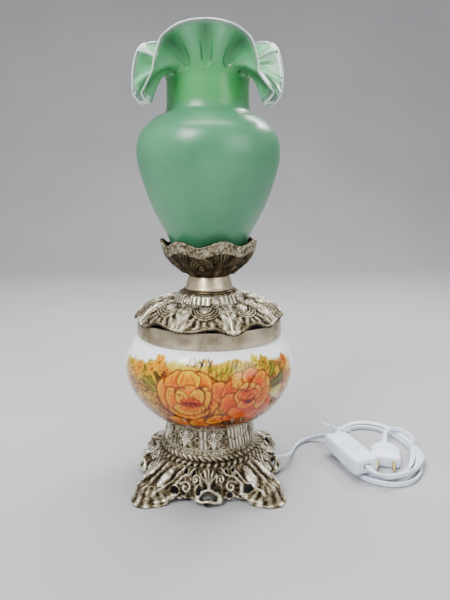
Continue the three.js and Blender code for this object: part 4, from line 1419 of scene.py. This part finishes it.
def build_bulb():
    f = Finish("frosted_bulb_glass", IOR=1.5, Transmission_Weight=0.25)
    cloud = f.span(f.noise(60, 3), 0.35, 0.65, 0.0, 1.0)
    f.set("Base Color", f.mix(cloud, srgb(248, 247, 240), srgb(236, 235, 228)))
    f.set("Roughness", f.span(f.noise(200, 3), 0.3, 0.7, 0.34, 0.46))
    f.bump(f.noise(1800, 2), 0.1, 0.06)
    wall = through(
        [(7.2, 293.3), (9.4, 300), (16, 311), (22.5, 331), (17, 346), (7, 352.6), (0.4, 353.6)], 40
    )
    turns = np.arange(64) / 64 * TAU
    rings = round_point(wall[:, :1], turns[None], wall[:, 1:])
    globe = skin("globe", rings, f.material, "bulb", crisp=False)
    show(globe, "bulb_glass", "bulb_globe")


build_bulb()


# ---------------------------------------------------------------- plain turned pieces

for name, node, turned_finish, sides, radius, corners in (
    ("band", "mouth_band", band_brass, 192, 0.7,
     [(76.4, 170.7), (80.4, 170.7), (80.3, 177), (79.3, 188), (76.4, 188)]),
    ("flange", "neck_ring", dark_brass, 128, 0.6,
     [(5.4, 216.9), (29, 216.9), (29.6, 218.2), (28.4, 219.5), (5.4, 219.5)]),
    ("sleeve", "neck_sleeve", neck_brass, 128, 0.5,
     [(24.8, 219.8), (26.8, 219.8), (26.6, 221.2), (25.9, 221.9), (22.3, 234.2), (20.3, 234.2)]),
):
    turned = lathe(name, rounded_outline(corners, radius), turned_finish, sides)
    show(turned, "plain_brass", node)


# ---------------------------------------------------------------- finishes of the CAD nodes that stay

for slot_finish, names in (
    (steel, ("threaded_tube", "foot_washer", "foot_nut", "bowl_floor_washer", "mouth_disc",
             "switch_screw_1", "switch_screw_2")),
    (fitting_brass, ("cup_washer", "cup_nut", "holder_thread", "holder_contact", "bulb_cap",
                     "switch_contact_left", "switch_contact_right", "switch_bridge")),
    (bakelite, ("cord_bush", "holder_base", "holder_shell", "bulb_tip")),
    (ceramic, ("holder_insulator",)),
    (cord_pvc, ("inner_wire",)),
):
    for node in names:
        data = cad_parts[node].data
        data.materials.clear()
        data.materials.append(slot_finish)


# ---------------------------------------------------------------- floor and light

def stage_set():
    """A pale floor that curves up into a pale wall far behind the lamp."""
    profile = [(-2.5, 0.0), (1.6, 0.0)]
    for angle in np.linspace(0.1, TAU / 4, 12):
        profile.append((1.6 + 0.8 * math.sin(angle), 0.8 - 0.8 * math.cos(angle)))
    profile.append((2.4, 3.5))
    points = [(x, y, z) for y, z in profile for x in (-4, 4)]
    faces = [(2 * i, 2 * i + 1, 2 * i + 3, 2 * i + 2) for i in range(len(profile) - 1)]
    mesh = bpy.data.meshes.new("floor")
    mesh.from_pydata(points, [], faces)
    mesh.polygons.foreach_set("use_smooth", [True] * len(mesh.polygons))
    f = Finish("floor", Roughness=0.9)
    grey, paler = (0.36, 0.36, 0.37, 1), (0.39, 0.39, 0.40, 1)
    f.set("Base Color", f.ramp(f.noise(3, 2), (0.3, grey), (0.7, paler)))
    mesh.materials.append(f.material)
    new_object("floor", mesh)


def area_light(name, place, aim, size, power):
    data = bpy.data.lights.new(name, "AREA")
    data.energy, data.size = power, size
    light = new_object(name, data)
    light.location = place
    light.rotation_euler = (Vector(aim) - Vector(place)).to_track_quat("-Z", "Y").to_euler()


stage_set()
area_light("key", (-0.9, -1.3, 1.7), (0, 0, 0.25), 0.8, 52)
area_light("fill", (1.3, -1.1, 0.9), (0, 0, 0.2), 1.0, 9)
area_light("back", (0.9, 1.05, 1.5), (0, 0, 0.35), 0.5, 20)
area_light("top", (-0.05, 0.3, 1.7), (0, 0, 0.35), 1.1, 46)
world = bpy.data.worlds.new("world")
bpy.context.scene.world = world
world.use_nodes = True
sky = world.node_tree.nodes["Background"].inputs
sky["Color"].default_value, sky["Strength"].default_value = (0.75, 0.77, 0.8, 1), 0.75
